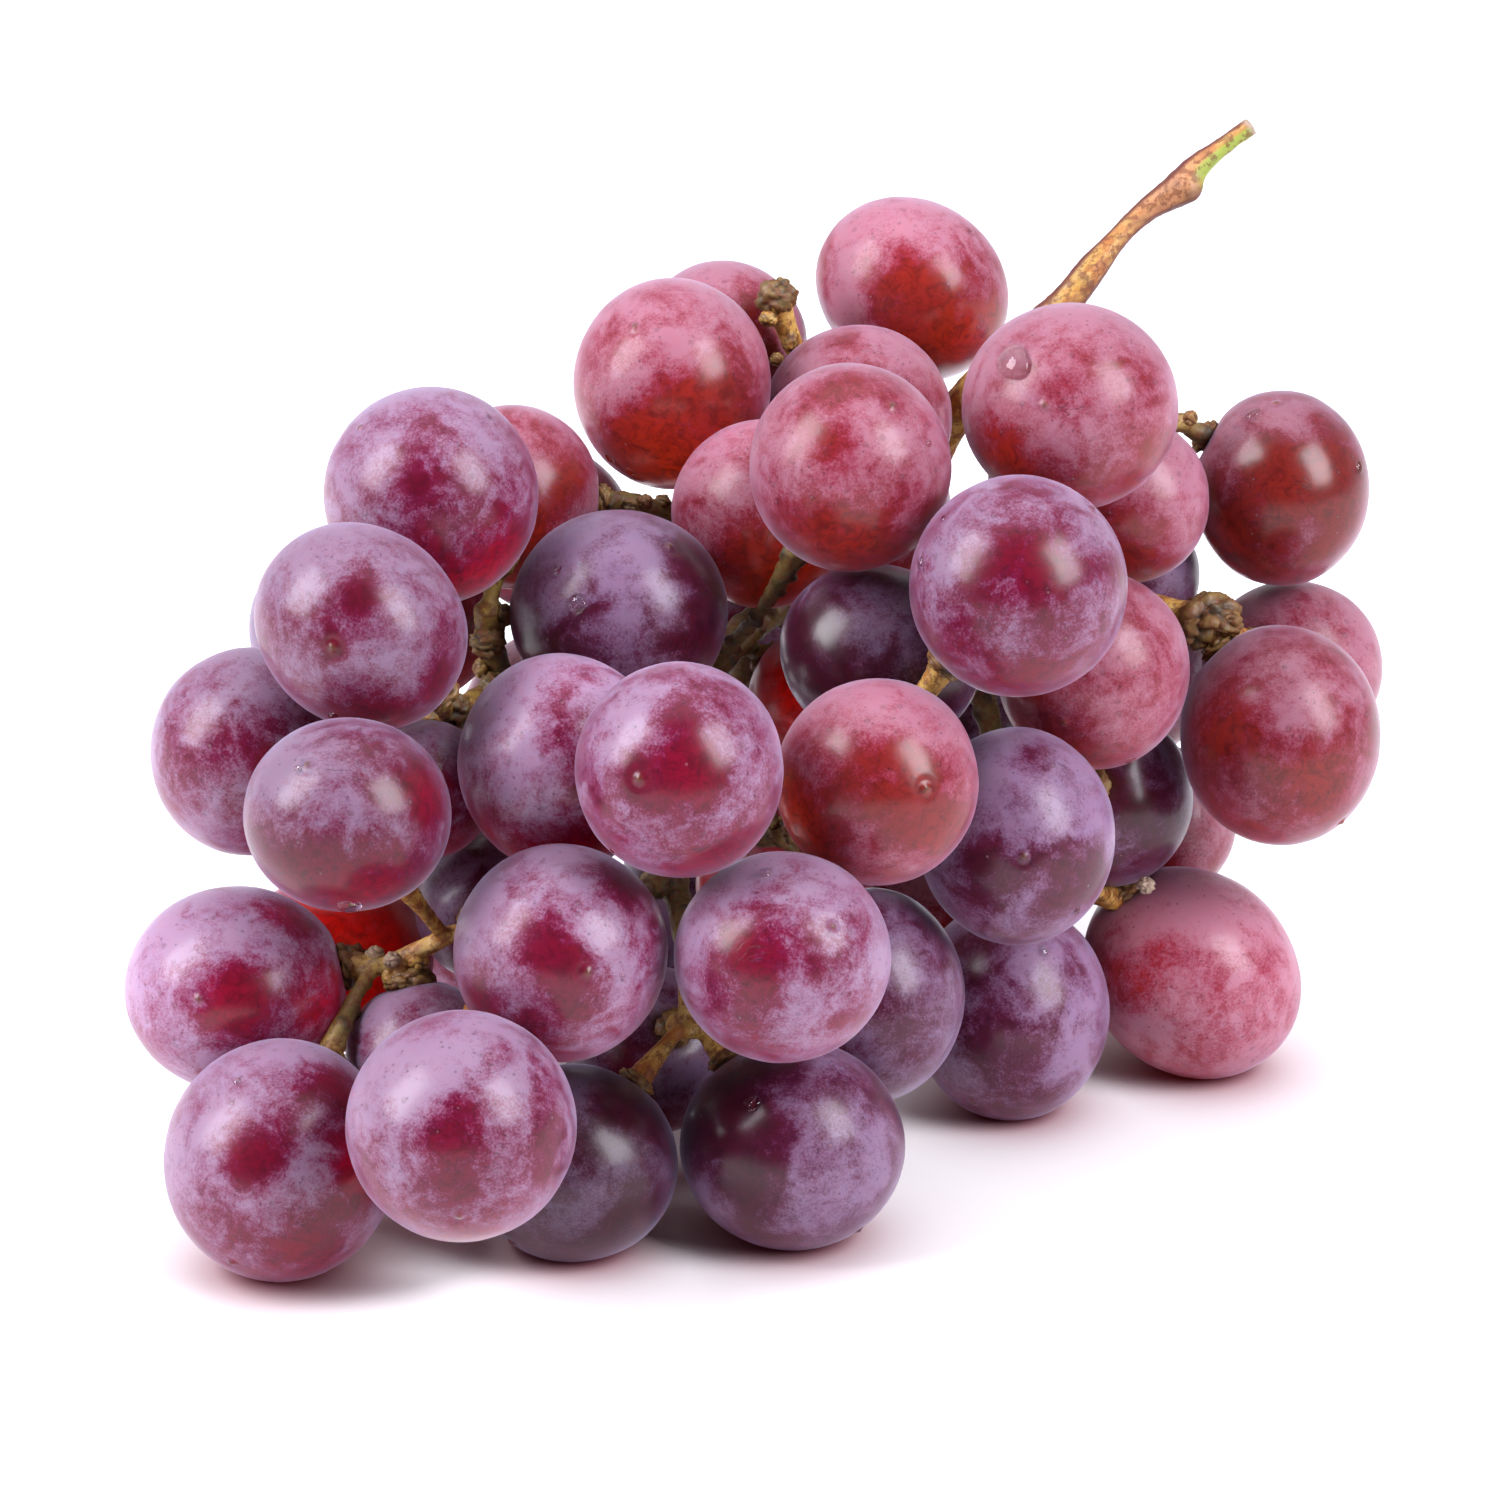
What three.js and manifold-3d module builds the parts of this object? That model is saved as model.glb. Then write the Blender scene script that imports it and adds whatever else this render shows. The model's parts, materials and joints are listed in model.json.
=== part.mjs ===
// A bunch of red table grapes as picked: 59 berries round one branching woody stalk, lying on a
// flat surface. Millimetres, +Z up, seen from the front along +Y. The origin is on the surface,
// under the middle of the bunch.
import * as THREE from 'three';
import { mergeVertices } from 'three/addons/utils/BufferGeometryUtils.js';
import Module from 'manifold-3d';

const wasm = await Module();
wasm.setup();
const { Manifold, Mesh: SolidMesh } = wasm;

// Driving dimensions
const VIEW_DISTANCE = 620; // from which the berries in front were measured
const VIEW_ELEVATION = 20; // degrees above the surface
const AIM_HEIGHT = 40.6; // height of the middle of the measured view
const TOUCH_GAP = 0.3; // air between pieces that touch
const SINK = 0.8; // how far a resting berry is pressed flat by the surface
const RESTING_PASSES = 4; // to find how deep a resting berry lies
const BERRY_DETAIL = 2; // splits each edge of the twenty-sided start into three
const DIMPLE_DEPTH = 0.7; // hollow of the skin round the stalk
const TWIG_RADIUS = 0.85;
const CUP_RADIUS = 1.75; // swollen end of a twig, where the berry sits
const CUP_LENGTH = 3;
const TWIG_SIDES = 5;
const SHORT_TWIG = 15; // a longer twig has one ring more to bend at
const BRANCH_SIDES = 6;
const STEM_SIDES = 7;
const STEM_RINGS_PER_ROW = 2; // a branch or twig has one ring for each row of its route
const FRAME_STEPS = 240; // places along a limb where its cross directions are known
const CLEARANCE = 0.8; // air kept between a twig and the berries it passes
const BARE_STEM = 42; // length of the stem, from its cut end, that bears no twigs
const JOINT_SPACING = 3; // between two places where a twig may start
const BEND_PASSES = 120;
const BEND_STIFFNESS = 0.12; // how much of its kink a twig loses in a pass
const BLOCKED_COST = 1.6; // length a twig will add to its way round a blocked millimetre
const MERGE_REACH = 1e-4; // corners of a geometry this close are one corner

// Directions of the measured view
const elevation = THREE.MathUtils.degToRad(VIEW_ELEVATION);
const RIGHT = new THREE.Vector3(1, 0, 0);
const UPWARD = new THREE.Vector3(0, Math.sin(elevation), Math.cos(elevation));
const AHEAD = new THREE.Vector3(0, Math.cos(elevation), -Math.sin(elevation));
const AIM = new THREE.Vector3(0, 0, AIM_HEIGHT);

/** How much larger a thing is than it looks on the view plane through AIM, when it lies deeper. */
function depthScale(deep) {
  return 1 + deep / VIEW_DISTANCE;
}

/** The point seen at (across, rise) on the view plane, at a depth behind that plane. */
function onSightLine(across, rise, deep) {
  const scale = depthScale(deep);
  return AIM.clone()
    .addScaledVector(RIGHT, across * scale)
    .addScaledVector(UPWARD, rise * scale)
    .addScaledVector(AHEAD, deep);
}

/** The depth at which a berry seen at this rise has its centre at the given height. */
function depthAtHeight(rise, height) {
  const slope = Math.sin(elevation) - (rise * Math.cos(elevation)) / VIEW_DISTANCE;
  return (AIM_HEIGHT + rise * Math.cos(elevation) - height) / slope;
}

const RESTS = 'rests'; // instead of a depth: the berry lies on the surface

// Berries that show from the front: across, rise, depth, width, height, turn of the oval
// clockwise in degrees, skin. Width and height are as seen on the view plane.
const FRONT_BERRIES = [
  // crown
  [18.8, 53.5, 30, 23.2, 20.4, 35, 'rose'],
  [-3.2, 46.9, 30, 19.7, 19.7, 0, 'rose'],
  [-9.0, 42.5, 8, 23.0, 24.5, 0, 'rose'],
  [12.5, 38.5, 14, 22.0, 21.6, 0, 'rose'],
  [11.6, 32.8, -30, 23.5, 24.2, 0, 'rose'],
  [1.7, 27.4, -7, 21.8, 22.0, 0, 'rose'],
  [37.1, 39.8, -22, 25.1, 24.1, 0, 'rose'],
  // left shoulder
  [-27.5, 29.3, -4, 20.4, 21.5, 0, 'rose'],
  [-23.4, 25.5, 17, 19.3, 19.3, 0, 'scarlet'],
  [-37.0, 29.5, -25, 24.9, 25.4, 0, 'crimson'],
  [-45.1, 14.3, -42, 25.8, 23.0, 40, 'crimson'],
  [-58.1, -0.2, -29, 22.9, 24.2, 0, 'crimson'],
  [-46.7, -7.5, -51, 24.2, 22.6, 0, 'crimson'],
  [-37.7, -4.6, -28, 16.2, 16.2, 0, 'crimson'],
  // middle
  [-15.2, 16.0, -19, 25.3, 23.9, 0, 'plum'],
  [15.1, 11.0, -21, 23.8, 20.9, 20, 'plum'],
  [-21.9, -1.4, -35, 24.1, 25.3, 0, 'crimson'],
  [-8.2, -2.3, -55, 24.2, 25.2, 0, 'crimson'],
  [14.7, -3.7, -40, 23.7, 24.1, 0, 'rose'],
  [31.1, 19.0, -38, 25.4, 25.8, 0, 'crimson'],
  [8.7, 5.6, 0, 18.1, 18.1, 0, 'scarlet'],
  // right shoulder
  [44.1, 29.0, -3, 18.3, 19.3, 0, 'rose'],
  [61.6, 30.4, 10, 20.4, 22.7, 0, 'rose'],
  [43.8, 20.3, 15, 16.7, 16.7, 0, 'plum'],
  [39.8, 9.3, -11, 22.5, 23.2, 0, 'rose'],
  [62.9, 9.6, 18, 20.9, 20.2, 0, 'rose'],
  [61.5, 1.7, -4, 23.2, 25.6, 0, 'rose'],
  // lower right
  [30.9, -10.0, -22, 22.9, 25.3, 0, 'plum'],
  [41.5, -5.5, 6, 19.7, 20.9, 0, 'plum'],
  [47.3, -8.4, 25, 18.1, 18.1, 0, 'rose'],
  [51.2, -25.8, RESTS, 26.6, 23.3, 40, 'rose'],
  [30.2, -30.2, RESTS, 23.0, 25.5, 0, 'plum'],
  [13.9, -28.4, -19, 22.0, 24.9, 0, 'plum'],
  // foot
  [3.8, -24.0, -49, 25.3, 24.5, 0, 'crimson'],
  [-22.0, -23.5, -47, 24.9, 25.4, 0, 'crimson'],
  [4.9, -45.8, RESTS, 26.1, 24.5, 0, 'plum'],
  [-20.5, -47.9, RESTS, 24.4, 23.0, 0, 'plum'],
  [-11.6, -34.8, -16, 19.7, 19.7, 0, 'plum'],
  [-33.5, -43.6, -58, 26.8, 26.9, 0, 'crimson'],
  [-54.5, -47.6, RESTS, 27.0, 28.2, 0, 'crimson'],
  [-59.6, -27.7, -27, 25.8, 23.9, 0, 'crimson'],
  [-48.1, -24.6, -6, 22.7, 20.9, 0, 'scarlet'],
  [-38.0, -35.7, -28, 18.1, 18.1, 0, 'crimson'],
  [-30.2, -18.2, -18, 17.4, 17.4, 0, 'plum'],
];

// Berries of the far side and the inside: x, y, height of the centre, diameter, skin
const BACK_BERRIES = [
  [-31, 20, RESTS, 24, 'crimson'],
  [-4, 31, RESTS, 24, 'plum'],
  [25, 20, RESTS, 24, 'rose'],
  [-46, 8, 31, 23, 'crimson'],
  [-24, 36, 31, 23, 'rose'],
  [1, 50, 31, 23, 'crimson'],
  [25, 42, 33, 23, 'plum'],
  [-41, 25, 49, 22, 'rose'],
  [-5, 41, 48, 19, 'crimson'],
  [14, 53, 53, 22, 'rose'],
  [40, 41, 61, 22, 'crimson'],
  [-47, 4, 54, 22, 'plum'],
  [46, 36, 38, 22, 'crimson'],
  [-16, 3, 12.5, 21, 'plum'],
  [4, 6, 22, 21, 'scarlet'],
];

// Berries whose stalk end shows: number of the berry, then the way to its stalk end across, up
// and ahead in the measured view
const SEEN_STALK_ENDS = new Map([
  [3, [0.35, -0.5, 0.8]],
  [10, [0.62, -0.6, 0.5]],
  [11, [0.72, -0.62, 0.3]],
  [18, [0.1, 0.1, 1]],
  [19, [-0.35, 0.35, 0.85]],
  [23, [-0.8, 0.55, 0.05]],
  [27, [-0.55, 0.8, 0.2]],
  [29, [-0.25, 0.15, -0.95]],
  [31, [-0.6, 0.75, -0.28]],
  [41, [0.96, 0.2, 0.05]],
]);

// The stalk. Each route lists across, rise and depth in the measured view, then the radius there.
const MAIN_STEM = [
  [58.3, 72.5, 10, 1.35],
  [54.2, 69.6, 10, 1.45],
  [51.6, 67.4, 10, 1.9],
  [50.2, 65.4, 10, 2.5],
  [48.4, 64.2, 10, 2.1],
  [46.2, 62.8, 10, 1.7],
  [41.8, 58.5, 9, 1.65],
  [36.5, 51.9, 8, 1.9],
  [29.0, 44.7, 14, 2.1],
  [23.8, 39.2, 20, 2.2],
  [21.1, 33.9, 24, 2.2],
  [17.2, 27.6, 20, 2.3],
  [11.6, 22.0, 12, 2.1],
  [4.6, 17.4, 6, 2.0],
  [-0.6, 13.9, 2, 1.9],
  [-5.8, 7.0, -2, 1.8],
  [-8.6, -1.2, -5, 1.7],
  [-9.2, -9.3, -10, 1.6],
  [-8.6, -16.2, -17, 1.5],
  [-7.0, -23.2, -27, 1.4],
  [-7.0, -33.1, -31, 1.3],
];

const BRANCHES = {
  crown: [
    [17.2, 27.6, 20, 1.6],
    [14.5, 30.7, 27, 1.4],
    [11.6, 35.4, 31, 1.3],
    [7.5, 41.2, 28, 1.1],
    [5.5, 45.8, 21, 1.1],
    [4.2, 49.1, 19, 1.2],
    [3.1, 52.2, 18, 1.9],
  ],
  leftShoulder: [
    [9.3, 20.9, 11, 1.5],
    [1.2, 22.4, 10, 1.4],
    [-5.8, 25.3, 6, 1.3],
    [-11.6, 27.7, 0, 1.5],
    [-16.7, 29.0, -3, 1.2],
  ],
  left: [
    [-0.6, 13.9, 2, 1.6],
    [-11.6, 5.2, -4, 1.5],
    [-22.0, 7.0, -10, 1.4],
    [-28.4, 7.5, -15, 1.4],
    [-30.2, 12.8, -18, 1.5],
    [-30.4, 16.7, -20, 1.6],
  ],
  farLeft: [
    [-28.4, 7.5, -15, 1.4],
    [-34.2, 4.4, -24, 1.4],
    [-40.6, 1.2, -20, 1.1],
  ],
  rightShoulder: [
    [17.2, 27.6, 20, 1.6],
    [26.7, 26.7, 9, 1.4],
    [34.8, 22.0, 5, 1.3],
    [44.1, 17.4, 1, 1.3],
    [49.9, 15.7, 0, 1.6],
    [53.4, 15.1, -1, 2.7],
  ],
  farRight: [
    [29.0, 44.7, 14, 1.6],
    [38.3, 40.6, 8, 1.4],
    [45.2, 38.9, 5, 1.2],
    [51.0, 37.8, 6, 1.2],
  ],
  lowerRight: [
    [11.6, 22.0, 12, 1.6],
    [19.7, 14.5, 11, 1.5],
    [27.3, 5.8, 5, 1.4],
    [29.0, -3.5, 3, 1.3],
    [30.2, -11.6, 5, 1.3],
    [37.1, -16.2, 8, 1.3],
    [42.0, -16.6, 5, 1.6],
  ],
  front: [
    [-9.2, -9.3, -10, 1.4],
    [-2.3, -9.3, -20, 1.3],
    [4.3, -9.5, -27, 1.7],
  ],
  lowerLeft: [
    [-8.7, -15.1, -15, 1.4],
    [-17.4, -18.0, -26, 1.2],
    [-26.7, -20.3, -31, 1.1],
    [-34.2, -21.1, -30, 1.0],
    [-38.3, -23.2, -29, 1.1],
    [-42.3, -24.9, -28, 1.0],
    [-46.0, -25.2, -27, 1.7],
  ],
  backMiddle: [
    [-0.6, 13.9, 2, 1.5],
    [-1.2, 4.6, 18, 1.4],
    [-1.7, -4.6, 24, 1.2],
  ],
  backRight: [
    [17.2, 27.6, 20, 1.5],
    [24.4, 19.7, 27, 1.4],
    [31.3, 16.2, 26, 1.2],
  ],
  backLeft: [
    [-22.0, 7.0, -10, 1.4],
    [-30.2, 0.6, 4, 1.3],
    [-36.0, -5.8, 8, 1.1],
  ],
};

const SKINS = {
  rose: new THREE.MeshStandardMaterial({ color: 0xb8485c, roughness: 0.42, metalness: 0 }),
  crimson: new THREE.MeshStandardMaterial({ color: 0xa04a70, roughness: 0.45, metalness: 0 }),
  plum: new THREE.MeshStandardMaterial({ color: 0x6e3f68, roughness: 0.45, metalness: 0 }),
  scarlet: new THREE.MeshStandardMaterial({ color: 0xa81428, roughness: 0.35, metalness: 0 }),
};
const BARK = new THREE.MeshStandardMaterial({ color: 0xa9813c, roughness: 0.75, metalness: 0 });

// Berries

/** A berry: an oval whose three half-sizes lie along three crossed directions. */
function makeBerry(centre, halves, axes, skin) {
  return { centre, halves, axes, skin, walls: [], stalkEnd: new THREE.Vector3(), reach: Math.max(...halves) };
}

/** Distance from a berry's centre to its oval skin in a direction. */
function skinDistance(berry, direction) {
  const parts = berry.axes.map((axis, i) => direction.dot(axis) / berry.halves[i]);
  return 1 / Math.hypot(...parts);
}

/** Half of a berry's height: how high its centre is when it just touches the surface. */
function halfHeight(halves, axes) {
  return Math.hypot(...axes.map((axis, i) => axis.z * halves[i]));
}

function frontBerry([across, rise, depth, width, height, turn, skin]) {
  const spin = THREE.MathUtils.degToRad(-turn);
  const long = RIGHT.clone().multiplyScalar(Math.cos(spin)).addScaledVector(UPWARD, Math.sin(spin));
  const cross = RIGHT.clone().multiplyScalar(-Math.sin(spin)).addScaledVector(UPWARD, Math.cos(spin));
  const axes = [long, cross, AHEAD.clone()];
  const sized = (deep) => [width, height, (width + height) / 2].map((size) => (size / 2) * depthScale(deep));
  let deep = depth === RESTS ? 0 : depth;
  for (let pass = 0; depth === RESTS && pass < RESTING_PASSES; pass += 1) {
    deep = depthAtHeight(rise, halfHeight(sized(deep), axes) - SINK);
  }
  return makeBerry(onSightLine(across, rise, deep), sized(deep), axes, skin);
}

function backBerry([x, y, height, diameter, skin]) {
  const halves = [diameter / 2, diameter / 2, diameter / 2];
  const z = height === RESTS ? diameter / 2 - SINK : height;
  const axes = [RIGHT, new THREE.Vector3(0, 1, 0), new THREE.Vector3(0, 0, 1)];
  return makeBerry(new THREE.Vector3(x, y, z), halves, axes, skin);
}

const berries = [...FRONT_BERRIES.map(frontBerry), ...BACK_BERRIES.map(backBerry)];

/** Gives each of two close berries the flat wall where they press on each other. */
function press(first, second) {
  const apart = second.centre.clone().sub(first.centre);
  const distance = apart.length();
  if (distance > first.reach + second.reach + TOUCH_GAP) return;
  const normal = apart.divideScalar(distance);
  const reachOfFirst = skinDistance(first, normal);
  const reachOfSecond = skinDistance(second, normal.clone().negate());
  const wall = (distance - TOUCH_GAP + reachOfFirst - reachOfSecond) / 2;
  first.walls.push({ normal, distance: wall });
  second.walls.push({ normal: normal.clone().negate(), distance: distance - TOUCH_GAP - wall });
}

berries.forEach((berry, i) => berries.slice(i + 1).forEach((other) => press(berry, other)));

/** Distance from a berry's centre to its outside, with the walls pressed by its neighbours. */
function outsideDistance(berry, direction) {
  let distance = skinDistance(berry, direction);
  for (const wall of berry.walls) {
    const lean = direction.dot(wall.normal);
    if (lean * distance > wall.distance) distance = wall.distance / lean;
  }
  return distance;
}

// Stalk routes

/** Moves a route's inner points off every berry that its thickness would touch. */
function bendClear(points, radii, ownBerry) {
  const middle = new THREE.Vector3();
  const apart = new THREE.Vector3();
  for (let pass = 0; pass < BEND_PASSES; pass += 1) {
    for (let i = 1; i < points.length - 1; i += 1) {
      middle.addVectors(points[i - 1], points[i + 1]).multiplyScalar(0.5);
      points[i].lerp(middle, BEND_STIFFNESS);
      for (const berry of berries) {
        if (berry === ownBerry && i === points.length - 2) continue;
        apart.subVectors(points[i], berry.centre);
        const distance = apart.length();
        const least = skinDistance(berry, apart.clone().divideScalar(distance)) + radii[i] + CLEARANCE;
        if (distance < least) points[i].addScaledVector(apart, (least - distance) / distance);
      }
    }
  }
}

const placesOf = (route) => route.map(([across, rise, deep]) => onSightLine(across, rise, deep));
const radiiOf = (route) => route.map((row) => row[3]);

const stem = { points: placesOf(MAIN_STEM), radii: radiiOf(MAIN_STEM), sides: STEM_SIDES };
const branches = Object.values(BRANCHES).map((route) => (
  { points: placesOf(route), radii: radiiOf(route), sides: BRANCH_SIDES }
));

const curveOf = ({ points }) => new THREE.CatmullRomCurve3(points, false, 'centripetal');

/** Places along a limb where twigs may start. */
function jointsAlong(limb, bareLength = 0) {
  const curve = curveOf(limb);
  const length = curve.getLength();
  const joints = [];
  for (let run = bareLength; run <= length; run += JOINT_SPACING) joints.push(curve.getPointAt(run / length));
  return joints;
}

const joints = [...jointsAlong(stem, BARE_STEM), ...branches.flatMap((branch) => jointsAlong(branch))];

/** How deep the straight line from a joint to a berry runs through other berries. */
function blockage(joint, own) {
  const line = new THREE.Line3(joint, own.centre);
  const near = new THREE.Vector3();
  return berries.filter((berry) => berry !== own).reduce((depth, berry) => {
    line.closestPointToPoint(berry.centre, true, near);
    return depth + Math.max(0, berry.reach - near.distanceTo(berry.centre));
  }, 0);
}

/** The way to a berry's stalk end: as seen, or else towards its joint. */
function stalkEndOf(berry, number, joint) {
  if (!SEEN_STALK_ENDS.has(number)) return joint.clone().sub(berry.centre).normalize();
  const [across, rise, ahead] = SEEN_STALK_ENDS.get(number);
  return new THREE.Vector3()
    .addScaledVector(RIGHT, across)
    .addScaledVector(UPWARD, rise)
    .addScaledVector(AHEAD, ahead)
    .normalize();
}

/** The inner points of a twig: one, or two if it is long. */
function bendsBetween(start, neck) {
  const shares = start.distanceTo(neck) < SHORT_TWIG ? [1 / 2] : [1 / 3, 2 / 3];
  return shares.map((share) => start.clone().lerp(neck, share));
}

/** A twig from the best joint of the stalk to the berry's stalk end. */
function twigTo(berry, number) {
  const cost = (joint) => joint.distanceTo(berry.centre) + BLOCKED_COST * blockage(joint, berry);
  const start = joints.reduce((best, joint) => (cost(joint) < cost(best) ? joint : best));
  berry.stalkEnd = stalkEndOf(berry, number, start);
  const tip = outsideDistance(berry, berry.stalkEnd) - DIMPLE_DEPTH;
  const end = berry.centre.clone().addScaledVector(berry.stalkEnd, tip);
  const neck = berry.centre.clone().addScaledVector(berry.stalkEnd, tip + CUP_LENGTH);
  const points = [start.clone(), ...bendsBetween(start, neck), neck, end];
  const cup = [(TWIG_RADIUS + CUP_RADIUS) / 2, CUP_RADIUS];
  const radii = points.map((_, i) => cup[i - points.length + 2] ?? TWIG_RADIUS);
  bendClear(points, radii, berry);
  return { points, radii, sides: TWIG_SIDES };
}

const twigs = berries.map((berry, i) => twigTo(berry, i + 1));

// Solids

/** A closed solid for joining and cutting, from any three.js geometry. */
function solidOf(geometry) {
  const bare = geometry.clone();
  bare.deleteAttribute('normal');
  bare.deleteAttribute('uv');
  const merged = mergeVertices(bare, MERGE_REACH);
  return new Manifold(new SolidMesh({
    numProp: 3,
    vertProperties: new Float32Array(merged.attributes.position.array),
    triVerts: new Uint32Array(merged.index.array),
  }));
}

function geometryOf(solid) {
  const { vertProperties, triVerts } = solid.getMesh();
  const geometry = new THREE.BufferGeometry();
  geometry.setAttribute('position', new THREE.BufferAttribute(vertProperties, 3));
  geometry.setIndex(new THREE.BufferAttribute(triVerts, 1));
  return geometry;
}

const BALL_CORNER = new THREE.Vector3(-1, (1 + Math.sqrt(5)) / 2, 0).normalize();

/** A berry's skin, with a shallow dimple at the stalk end, grown outward by some air. */
function berryGeometry(berry, air = 0) {
  const skin = new THREE.IcosahedronGeometry(1, BERRY_DETAIL);
  skin.applyQuaternion(new THREE.Quaternion().setFromUnitVectors(BALL_CORNER, berry.stalkEnd));
  const places = skin.attributes.position;
  const direction = new THREE.Vector3();
  for (let i = 0; i < places.count; i += 1) {
    direction.fromBufferAttribute(places, i).normalize();
    const dimple = direction.distanceTo(berry.stalkEnd) < MERGE_REACH ? DIMPLE_DEPTH : 0;
    direction.multiplyScalar(outsideDistance(berry, direction) - dimple + air).add(berry.centre);
    places.setXYZ(i, direction.x, direction.y, direction.z);
  }
  return skin;
}

/** A tapered limb: a closed cylinder of unit size bent along its route. */
function limbGeometry(limb, ringsPerRow = 1) {
  const rows = limb.points.length - 1;
  const rings = rows * ringsPerRow;
  const curve = curveOf(limb);
  const runs = curve.getLengths(rings);
  const frames = curve.computeFrenetFrames(FRAME_STEPS);
  const limbSkin = new THREE.CylinderGeometry(1, 1, 1, limb.sides, rings);
  const places = limbSkin.attributes.position;
  for (let i = 0; i < places.count; i += 1) {
    const ring = Math.round((places.getY(i) + 0.5) * rings);
    const row = Math.min(Math.floor(ring / ringsPerRow), rows - 1);
    const radius = THREE.MathUtils.lerp(limb.radii[row], limb.radii[row + 1], ring / ringsPerRow - row);
    const frame = Math.round((runs[ring] / runs[rings]) * FRAME_STEPS);
    const point = curve.getPoint(ring / rings)
      .addScaledVector(frames.normals[frame], places.getX(i) * radius)
      .addScaledVector(frames.binormals[frame], -places.getZ(i) * radius);
    places.setXYZ(i, point.x, point.y, point.z);
  }
  return limbSkin;
}

// A block under the surface, to cut resting berries flat
const BLOCK_WIDTH = 400;
const BLOCK_DEPTH = 40;
const ground = new THREE.BoxGeometry(BLOCK_WIDTH, BLOCK_WIDTH, BLOCK_DEPTH).translate(0, 0, -BLOCK_DEPTH / 2);
const groundSolid = solidOf(ground);

function berryMesh(berry, number) {
  const rests = berry.centre.z < halfHeight(berry.halves, berry.axes);
  const skin = berryGeometry(berry);
  const geometry = rests ? geometryOf(solidOf(skin).subtract(groundSolid)) : skin;
  const mesh = new THREE.Mesh(geometry, SKINS[berry.skin]);
  mesh.name = `grape_${String(number).padStart(2, '0')}`;
  return mesh;
}

/** The whole stalk as one woody body, cut back where it would touch a berry or the surface. */
function stalkMesh() {
  const wood = Manifold.union([
    solidOf(limbGeometry(stem, STEM_RINGS_PER_ROW)),
    ...[...branches, ...twigs].map((limb) => solidOf(limbGeometry(limb))),
  ]);
  const berrySpace = Manifold.union(berries.map((berry) => solidOf(berryGeometry(berry, TOUCH_GAP))));
  const bodies = wood.subtract(berrySpace).subtract(groundSolid).decompose();
  const whole = bodies.reduce((largest, body) => (body.volume() > largest.volume() ? body : largest));
  const mesh = new THREE.Mesh(geometryOf(whole), BARK);
  mesh.name = 'stalk';
  return mesh;
}

const bunch = new THREE.Group();
bunch.add(stalkMesh(), ...berries.map((berry, i) => berryMesh(berry, i + 1)));

// The origin goes under the middle of the bunch
const middle = new THREE.Box3().setFromObject(bunch).getCenter(new THREE.Vector3());
bunch.position.set(-middle.x, -middle.y, 0);

export default bunch;
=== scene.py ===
# %% [markdown]
# # A bunch of red table grapes on a pale surface
# A grape is a thin glossy skin round wet, see-through flesh, and the skin carries a pale dust of wax, the
# bloom. The imported model gives each grape and the woody stalk as a plain solid of flat faces. This lesson
# lays a fine surface over each of those solids, dresses it, and lights it as in a small photo studio.
# The solids stay the measure of everything, so they are loaded first.

import json
import math

import bpy
import numpy as np
from mathutils import Matrix


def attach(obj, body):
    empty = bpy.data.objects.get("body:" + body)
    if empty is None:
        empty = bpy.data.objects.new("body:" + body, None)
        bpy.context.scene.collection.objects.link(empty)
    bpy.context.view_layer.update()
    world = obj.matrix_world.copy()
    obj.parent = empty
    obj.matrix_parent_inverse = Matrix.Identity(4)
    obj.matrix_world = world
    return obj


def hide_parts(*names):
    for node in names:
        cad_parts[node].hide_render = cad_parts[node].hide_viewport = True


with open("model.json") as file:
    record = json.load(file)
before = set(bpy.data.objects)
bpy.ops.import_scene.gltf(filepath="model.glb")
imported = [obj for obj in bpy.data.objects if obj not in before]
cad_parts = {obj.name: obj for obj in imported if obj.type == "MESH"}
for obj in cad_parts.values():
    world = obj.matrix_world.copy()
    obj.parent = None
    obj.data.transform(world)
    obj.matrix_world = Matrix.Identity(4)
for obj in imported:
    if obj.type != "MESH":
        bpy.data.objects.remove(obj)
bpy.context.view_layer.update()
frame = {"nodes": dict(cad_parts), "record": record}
MM = 0.001
GRAPES = sorted(name for name in frame["nodes"] if name.startswith("grape_"))
print(len(GRAPES), "grapes and", len(frame["nodes"]) - len(GRAPES), "stalk in the frame")

# %% [markdown]
# ## The camera
# The bunch was photographed from a little above, from the front. A long lens from 62 cm away keeps the
# grapes in front only slightly larger than those behind. The three directions of that view are kept,
# because marks on the skin are easiest to place as the eye sees them: across, up and towards the eye.

# %% Camera and the directions of its view
VIEW_DISTANCE = 0.620
VIEW_WIDTH = 0.174  # what the picture spans at that distance
VIEW_ELEVATION = math.radians(20)
AIM = np.array([-3.15, 8.16, 40.6]) * MM
SENSOR = 36.0
NEAREST, FARTHEST = 0.05, 20  # metres from the lens, past which nothing is drawn
RIGHT = np.array([1.0, 0.0, 0.0])
UPWARD = np.array([0.0, math.sin(VIEW_ELEVATION), math.cos(VIEW_ELEVATION)])
AHEAD = np.array([0.0, math.cos(VIEW_ELEVATION), -math.sin(VIEW_ELEVATION)])
EYE = AIM - VIEW_DISTANCE * AHEAD


def in_view(across, rise, deep):
    """The point seen at (across, rise) mm on the view plane, lying deep mm behind that plane."""
    scale = 1 + deep * MM / VIEW_DISTANCE
    return AIM + (across * scale * RIGHT + rise * scale * UPWARD + deep * AHEAD) * MM


def unit(vectors):
    """The same directions at length one."""
    return vectors / np.linalg.norm(vectors, axis=-1, keepdims=True)


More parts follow.
